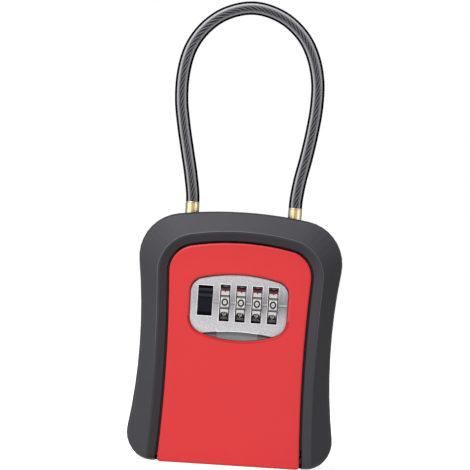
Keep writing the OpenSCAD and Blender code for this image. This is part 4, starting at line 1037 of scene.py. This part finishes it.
def dial_ring(body, x):
    """One dial, centred on x, with small chamfers at both faces."""
    half, rings = DIAL_W / 2, []
    bore = [(a / math.hypot(a, b) * BORE_R, b / math.hypot(a, b) * BORE_R)
            for a, b in dial_outline(0)]
    for side, outline in ((-half, bore), (-half, dial_outline(DIAL_EDGE)),
                          (-half + DIAL_EDGE, dial_outline(0)), (half - DIAL_EDGE, dial_outline(0)),
                          (half, dial_outline(DIAL_EDGE)), (half, bore)):
        rings.append([(x + side, DIAL_Y + a, DIAL_Z + b) for a, b in outline])
    around = len(bore)
    ring = mesh_piece(body + "_ring", sum(rings, []), ring_faces(len(rings), around, closed=True),
                      body, dial_plating, [body], smooth_deg=20)
    ring.data.materials.append(number_and_shade_black)
    ring.data.materials.append(number_and_shade_grey)
    for face in ring.data.polygons:
        first = min(face.vertices)
        if not 2 * around <= first < 3 * around:  # all but the band of flats
            face.material_index = 1
        elif first % len(FLAT_SECTION) in GROOVE_STEPS:
            face.material_index = 2
    return ring


print("points round a dial:", len(dial_outline(0)))

# %% [markdown]
# ## Numbers on the dials
# The numbers are sunk into the flats and filled with paint, level with the metal. Cutting them in
# is wasted work, since the fill hides the cut. Each number is a flat outline from the built-in
# font, laid a hair above its flat, so that it looks filled and never flickers with the metal. The
# coloured fields are flat shapes too, a still smaller hair above the flat.

# %% Flat shapes for numbers and fields
def number_mesh(text, height, widen=1.3, up=0.0):
    """A number as flat points and faces, with its height and the height of its middle."""
    curve = bpy.data.curves.new("number", "FONT")
    curve.body = text
    curve.fill_mode = "FRONT"
    curve.offset = 0.02
    holder = bpy.data.objects.new("number", curve)
    mesh = bpy.data.meshes.new_from_object(holder)
    points = [v.co.copy() for v in mesh.vertices]
    faces = [tuple(p.vertices) for p in mesh.polygons]
    low = Vector((min(p.x for p in points), min(p.y for p in points)))
    high = Vector((max(p.x for p in points), max(p.y for p in points)))
    scale, middle = height / (high.y - low.y), (low + high) / 2
    bpy.data.objects.remove(holder)
    flat = [((p.x - middle.x) * scale * widen, (p.y - middle.y) * scale + up) for p in points]
    return flat, faces


def oval(half_w, half_h, sides):
    """Points once round an oval."""
    turns = [2 * math.pi * i / sides for i in range(sides)]
    return [(half_w * math.cos(a), half_h * math.sin(a)) for a in turns]


def zero_mesh(half_w, half_h, stroke, sides=40):
    """A flat oval ring, for the round 0."""
    flat = oval(half_w, half_h, sides) + oval(half_w - stroke, half_h - stroke, sides)
    faces = [(i, (i + 1) % sides, sides + (i + 1) % sides, sides + i) for i in range(sides)]
    return flat, faces


def dot_mesh(radius, sides=16):
    """A flat round dot."""
    return oval(radius, radius, sides), [tuple(range(sides))]


def field_mesh(half_w, low, high, half_w_top=None):
    """A flat field from low to high, with a width of its own at the top where that is given."""
    top = half_w if half_w_top is None else half_w_top
    return [(-half_w, low), (half_w, low), (top, high), (-top, high)], [(0, 1, 2, 3)]


def dome_mesh(half_w, low, high, sides=12):
    """A flat field from low to high with a round top."""
    turns = [math.pi * i / sides for i in range(sides + 1)]
    top = [(half_w * math.cos(a), high - half_w * (1 - math.sin(a))) for a in turns]
    return [(-half_w, low), (half_w, low), *top], [tuple(range(sides + 3))]


print("faces in a 0 and a dot:", len(zero_mesh(2, 2, 1)[1]), len(dot_mesh(1)[1]))

# %% [markdown]
# With the code at 0 the front flat shows the 0 in black, the flat above it a dark red field with a
# 1, and the flat below it a black dome with a light 9. These three are set out one by one, with grey
# borders at the flats' edges as painted shade, a light grey field that paints shade on the flat
# above, and white fields that paint highlights. The other numbers aren't in sight at rest and simply
# sit in the middle of their flats. All shapes of one finish on a dial become one piece, so that a
# turn carries them together.

# %% Marks on the flats
NUMBER_HEIGHT, SMALL_HEIGHT, FIELD_HALF_W = 3.2, 2.2, 1.82
OVER, UNDER = 0.05, 0.03  # how far a number and a field lie above the metal
# Each mark: its flat, its lift, and its points and faces
black_marks = [(0, OVER, *zero_mesh(1.55, 1.72, 0.72)), (0, OVER, *dot_mesh(0.22)),
               (1, OVER, *number_mesh("1", SMALL_HEIGHT)),
               (9, UNDER, *dome_mesh(FIELD_HALF_W, -2.55, 1.3)),
               (8, UNDER, *field_mesh(FIELD_HALF_W, -2.3, 2.55))]
black_marks += [(k, OVER, *number_mesh(str(k), NUMBER_HEIGHT)) for k in range(2, 8)]
red_marks = [(1, UNDER, *field_mesh(FIELD_HALF_W, -0.5, 1.9))]
# The grey bands at the edges of flats 0 and 1 are painted shade.
grey_marks = [(8, OVER, *number_mesh("8", NUMBER_HEIGHT)),
              (0, UNDER, *field_mesh(FIELD_HALF_W, 2.25, 2.8)),
              (0, UNDER, *field_mesh(FIELD_HALF_W, -2.8, -2.15)),
              (1, UNDER, *field_mesh(FIELD_HALF_W, 1.9, 2.75))]
# The light grey field on flat 1 is painted shade on that upward flat.
light_marks = [(9, OVER, *number_mesh("9", SMALL_HEIGHT, 1.4, -0.3)),
               (9, OVER, *field_mesh(1.4, -2.0, -1.8)), (9, OVER, *field_mesh(1.5, -2.5, -2.3)),
               (1, UNDER, *field_mesh(FIELD_HALF_W, -2.7, -0.5))]
# The white fields on flats 9 and 1 are painted highlights.
white_marks = [(9, UNDER, *field_mesh(1.45, 1.0, 2.75, half_w_top=1.75)),
               (1, OVER, *field_mesh(0.7, 2.1, 2.4))]
MARKS = {"numbers": (black_marks, number_and_shade_black), "red_field": (red_marks, number_red),
         "grey_marks": (grey_marks, number_and_shade_grey), "light_marks": (light_marks, number_and_shade_light),
         "white_marks": (white_marks, dial_highlight_white)}
print("marks on a dial:", {kind: len(marks) for kind, (marks, _) in MARKS.items()})

# %% Dials with their numbers
def on_flats(name, x, body, marks, material):
    """Flat marks laid on a dial's flats as one piece."""
    verts, faces = [], []
    for k, lift, flat, mark_faces in marks:
        angle = k * STEP
        out = Vector((0, -math.cos(angle), math.sin(angle)))
        up = Vector((0, math.sin(angle), math.cos(angle)))
        faces += shifted(mark_faces, len(verts))
        for u, v in flat:
            verts.append(Vector((x, DIAL_Y, DIAL_Z)) + out * (FLAT_R + lift) + up * v
                         + Vector((u, 0, 0)))
    return mesh_piece(name, verts, faces, body, material)


for i, x in enumerate(dial_places):
    body = "dial_%d" % (i + 1)
    dial_ring(body, x)
    for kind, (marks, material) in MARKS.items():
        on_flats("%s_%s" % (body, kind), x, body, marks, material)
print("dials at x:", [round(x, 2) for x in dial_places])

# %% [markdown]
# ## Release button
# The button is a black moulding with two grip bars near its top and a smooth face. A shield behind
# it keeps dirt out of the slot as it slides, and a stem leads to the latch plate. All of it is
# square in section, so boxes make it. A bevel rounds their edges, since no moulding has a sharp
# edge, and only a round one catches the light.

# %% Release button
def soften(piece, width_mm):
    """A small rounded edge, as a casting or moulding has."""
    bevel = piece.modifiers.new("soft edge", "BEVEL")
    bevel.width = width_mm * MM
    bevel.segments = 3
    bevel.limit_method = "ANGLE"
    bevel.angle_limit = math.radians(40)
    bevel.harden_normals = True


BUTTON_HALF, BUTTON_LOW, BUTTON_HIGH = 3.25, 69.58, 80.32
BUTTON_FACE, BUTTON_BACK = -17.4, -13.7
SHIELD_HALF, SHIELD_LOW, SHIELD_HIGH, SHIELD_BACK = 4.0, 66.3, 83.6, -12.8
STEM_LEFT, STEM_RIGHT, STEM_LOW, STEM_HIGH, STEM_BACK = -2.7, 1.3, 72, 79, 0.5
cap = boxes_piece("button_cap", [
    ((BUTTON_X - BUTTON_HALF, BUTTON_FACE, BUTTON_LOW),
     (BUTTON_X + BUTTON_HALF, BUTTON_BACK, BUTTON_HIGH)),
    ((BUTTON_X - SHIELD_HALF, BUTTON_BACK, SHIELD_LOW),
     (BUTTON_X + SHIELD_HALF, SHIELD_BACK, SHIELD_HIGH)),
    ((BUTTON_X + STEM_LEFT, BUTTON_BACK, STEM_LOW),
     (BUTTON_X + STEM_RIGHT, STEM_BACK, STEM_HIGH)),
], "latch", button_black, ["open_button"])
soften(cap, 0.18)
print("button height in mm:", round(BUTTON_HIGH - BUTTON_LOW, 2))

# %% [markdown]
# The thumb pushes against two bars across the button. They could be cut out of the cap's mesh, but
# they are a lighter black and have rounder edges, so they are a piece of their own that reaches a
# little way into the cap.

# %% Grip bars of the button
GRIP_HALF, GRIP_FRONT, GRIP_BACK = BUTTON_HALF - 0.1, BUTTON_FACE - 0.7, BUTTON_FACE + 0.5
GRIP_SPANS = ((1.3, 0.1), (3.9, 2.6))  # lower and upper edge below the button's top
grips = boxes_piece("button_grips", [
    ((BUTTON_X - GRIP_HALF, GRIP_FRONT, BUTTON_HIGH - low),
     (BUTTON_X + GRIP_HALF, GRIP_BACK, BUTTON_HIGH - high))
    for low, high in GRIP_SPANS], "latch", grip_grey)
soften(grips, 0.25)
print("grip bars:", len(GRIP_SPANS))

# %% [markdown]
# ## Springs
# Four coil springs push the latch, the code wheels and the shackle catch back. One end of a real
# spring stays on its seat and the other follows what it pushes; these coils are made once, where the
# springs stand at rest, and ride on no body. A curve with a round section makes the coil, since the
# CAD has only a coarse tube.

# %% Springs
COIL_STEPS = 24


def spring(name, axis, low, high, radius, wire, turns, node):
    """A coil from the point low along axis 'x' or 'z' to the place high, between two bodies."""
    along, steps = "xyz".index(axis), turns * COIL_STEPS
    long = high - low[along] - 2 * wire
    coil = []
    for i in range(steps + 1):
        a = 2 * math.pi * i * turns / steps
        offset = [radius * math.cos(a), radius * math.sin(a)]
        offset.insert(along, wire + long * i / steps)
        coil.append([start + step for start, step in zip(low, offset)])
    holder = bpy.data.objects.new(name + "_line", round_line(name, coil, wire, 4))
    mesh = bpy.data.meshes.new_from_object(holder)
    bpy.data.objects.remove(holder)
    mesh.materials.append(spring_steel)
    mesh.shade_smooth()
    piece = bpy.data.objects.new(name, mesh)
    bpy.context.scene.collection.objects.link(piece)
    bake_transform(piece)
    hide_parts(node)


for side, x in (("left", -9.8), ("right", 13.895)):
    spring("latch_spring_" + side, "z", low=(x, 1.1, 59.65), high=69.95, radius=1.25, wire=0.25,
           turns=6, node="latch_springs")
spring("code_spring_coil", "x", low=(19.345, DIAL_Y, DIAL_Z), high=24.345, radius=2.75, wire=0.3,
       turns=4, node="code_spring")
spring("catch_spring_coil", "x", low=(-13.05, SHACKLE_Y, 98.0), high=-3.95, radius=0.7, wire=0.22,
       turns=7, node="catch_spring")
print("springs: 4, each between its seat and what it pushes")

# %% [markdown]
# ## Room
# A product photograph has a white room round the object. Enough lamps would turn any backdrop
# white, but they would burn out the object too. So the world is white only for the rays that look
# at it, straight or by way of a mirror or a clear coat, and gives the object just a weak fill.

# %% Room
WHITE_STRENGTH, FILL_STRENGTH = 1.0, 0.14


def looks_at_it(tree):
    """1 for rays of the camera, of mirrors and of clear coats, and 0 for the rest."""
    rays = tree.nodes.new("ShaderNodeLightPath").outputs
    seen = math_node(tree, "MAXIMUM", rays["Is Camera Ray"], rays["Is Glossy Ray"])
    return math_node(tree, "MAXIMUM", seen, rays["Is Transmission Ray"])


world = bpy.data.worlds.new("studio")
bpy.context.scene.world = world
world.use_nodes = True
tree = world.node_tree
tree.nodes.clear()
strength = tree.nodes.new("ShaderNodeMapRange")
strength.inputs["To Min"].default_value = FILL_STRENGTH
strength.inputs["To Max"].default_value = WHITE_STRENGTH
sky = tree.nodes.new("ShaderNodeBackground")
sky.inputs["Color"].default_value = (1, 1, 1, 1)
tree.links.new(looks_at_it(tree), strength.inputs["Value"])
tree.links.new(strength.outputs[0], sky.inputs["Strength"])
tree.links.new(sky.outputs[0], tree.nodes.new("ShaderNodeOutputWorld").inputs[0])
print("fill light:", FILL_STRENGTH)

# %% [markdown]
# ## Floor
# The safe stands on a white table. A floor in a pure white colour would throw a lot of light back
# up and still look grey away from the lamps. This one is a light grey that glows almost white for
# the rays that look at it. It takes the object's soft shadow and lights it only a little.

# %% Floor
FLOOR_HALF, FLOOR_DROP = 6.0, 0.05 * MM
FLOOR_GREY, FLOOR_GLOW = 0.62, 0.92
floor_corners = [(-FLOOR_HALF, -FLOOR_HALF, 0), (FLOOR_HALF, -FLOOR_HALF, 0),
                 (FLOOR_HALF, FLOOR_HALF, 0), (-FLOOR_HALF, FLOOR_HALF, 0)]
floor_mesh = bpy.data.meshes.new("floor")
floor_mesh.from_pydata(floor_corners, [], [(0, 1, 2, 3)])
floor = bpy.data.objects.new("floor", floor_mesh)
bpy.context.scene.collection.objects.link(floor)
floor.location.z = -FLOOR_DROP
pale = bpy.data.materials.new("pale floor")
pale.use_nodes = True
tree = pale.node_tree
shader = tree.nodes["Principled BSDF"]
shader.inputs["Base Color"].default_value = (FLOOR_GREY, FLOOR_GREY, FLOOR_GREY, 1)
shader.inputs["Roughness"].default_value = 0.9
shader.inputs["Specular IOR Level"].default_value = 0
shader.inputs["Emission Color"].default_value = (1, 1, 1, 1)
tree.links.new(math_node(tree, "MULTIPLY", looks_at_it(tree), FLOOR_GLOW),
               shader.inputs["Emission Strength"])
floor_mesh.materials.append(pale)
print("floor: %.0f m square" % (2 * FLOOR_HALF))

# %% [markdown]
# ## Lamps
# The photograph was lit by soft boxes: a key light from above the front, a weak one from the left
# front and one right above, which brightens the top slopes. Point lamps or a sun would give hard
# shadows and small glints. Square area lamps are what a studio has, and their size sets how soft
# the shadow is.

# %% Lamps
# Place and aim, size in metres and power in watts
SOFT_BOXES = {"key": ((-0.35, -0.65, 1.0), (0, 0, 0.08), 0.4, 13),
              "front": ((-0.7, -1.2, 0.3), (0, 0, 0.08), 0.5, 1.5),
              "top": ((-0.3, -0.05, 0.95), (0, 0, 0.1), 0.4, 6.5)}
for name, (place, aim, size, power) in SOFT_BOXES.items():
    lamp = bpy.data.objects.new(name, bpy.data.lights.new(name, "AREA"))
    lamp.data.size = size
    lamp.data.energy = power
    lamp.location = place
    lamp.rotation_mode = "QUATERNION"
    lamp.rotation_quaternion = (Vector(aim) - Vector(place)).to_track_quat("-Z", "Y")
    bpy.context.scene.collection.objects.link(lamp)
print("lamps in watts:", {name: box[-1] for name, box in SOFT_BOXES.items()})

# %% [markdown]
# ## Finish
# The last lines bring the scene up to date and set the Standard view transform.

# %% Finish
bpy.context.view_layer.update()
bpy.context.scene.view_settings.view_transform = "Standard"
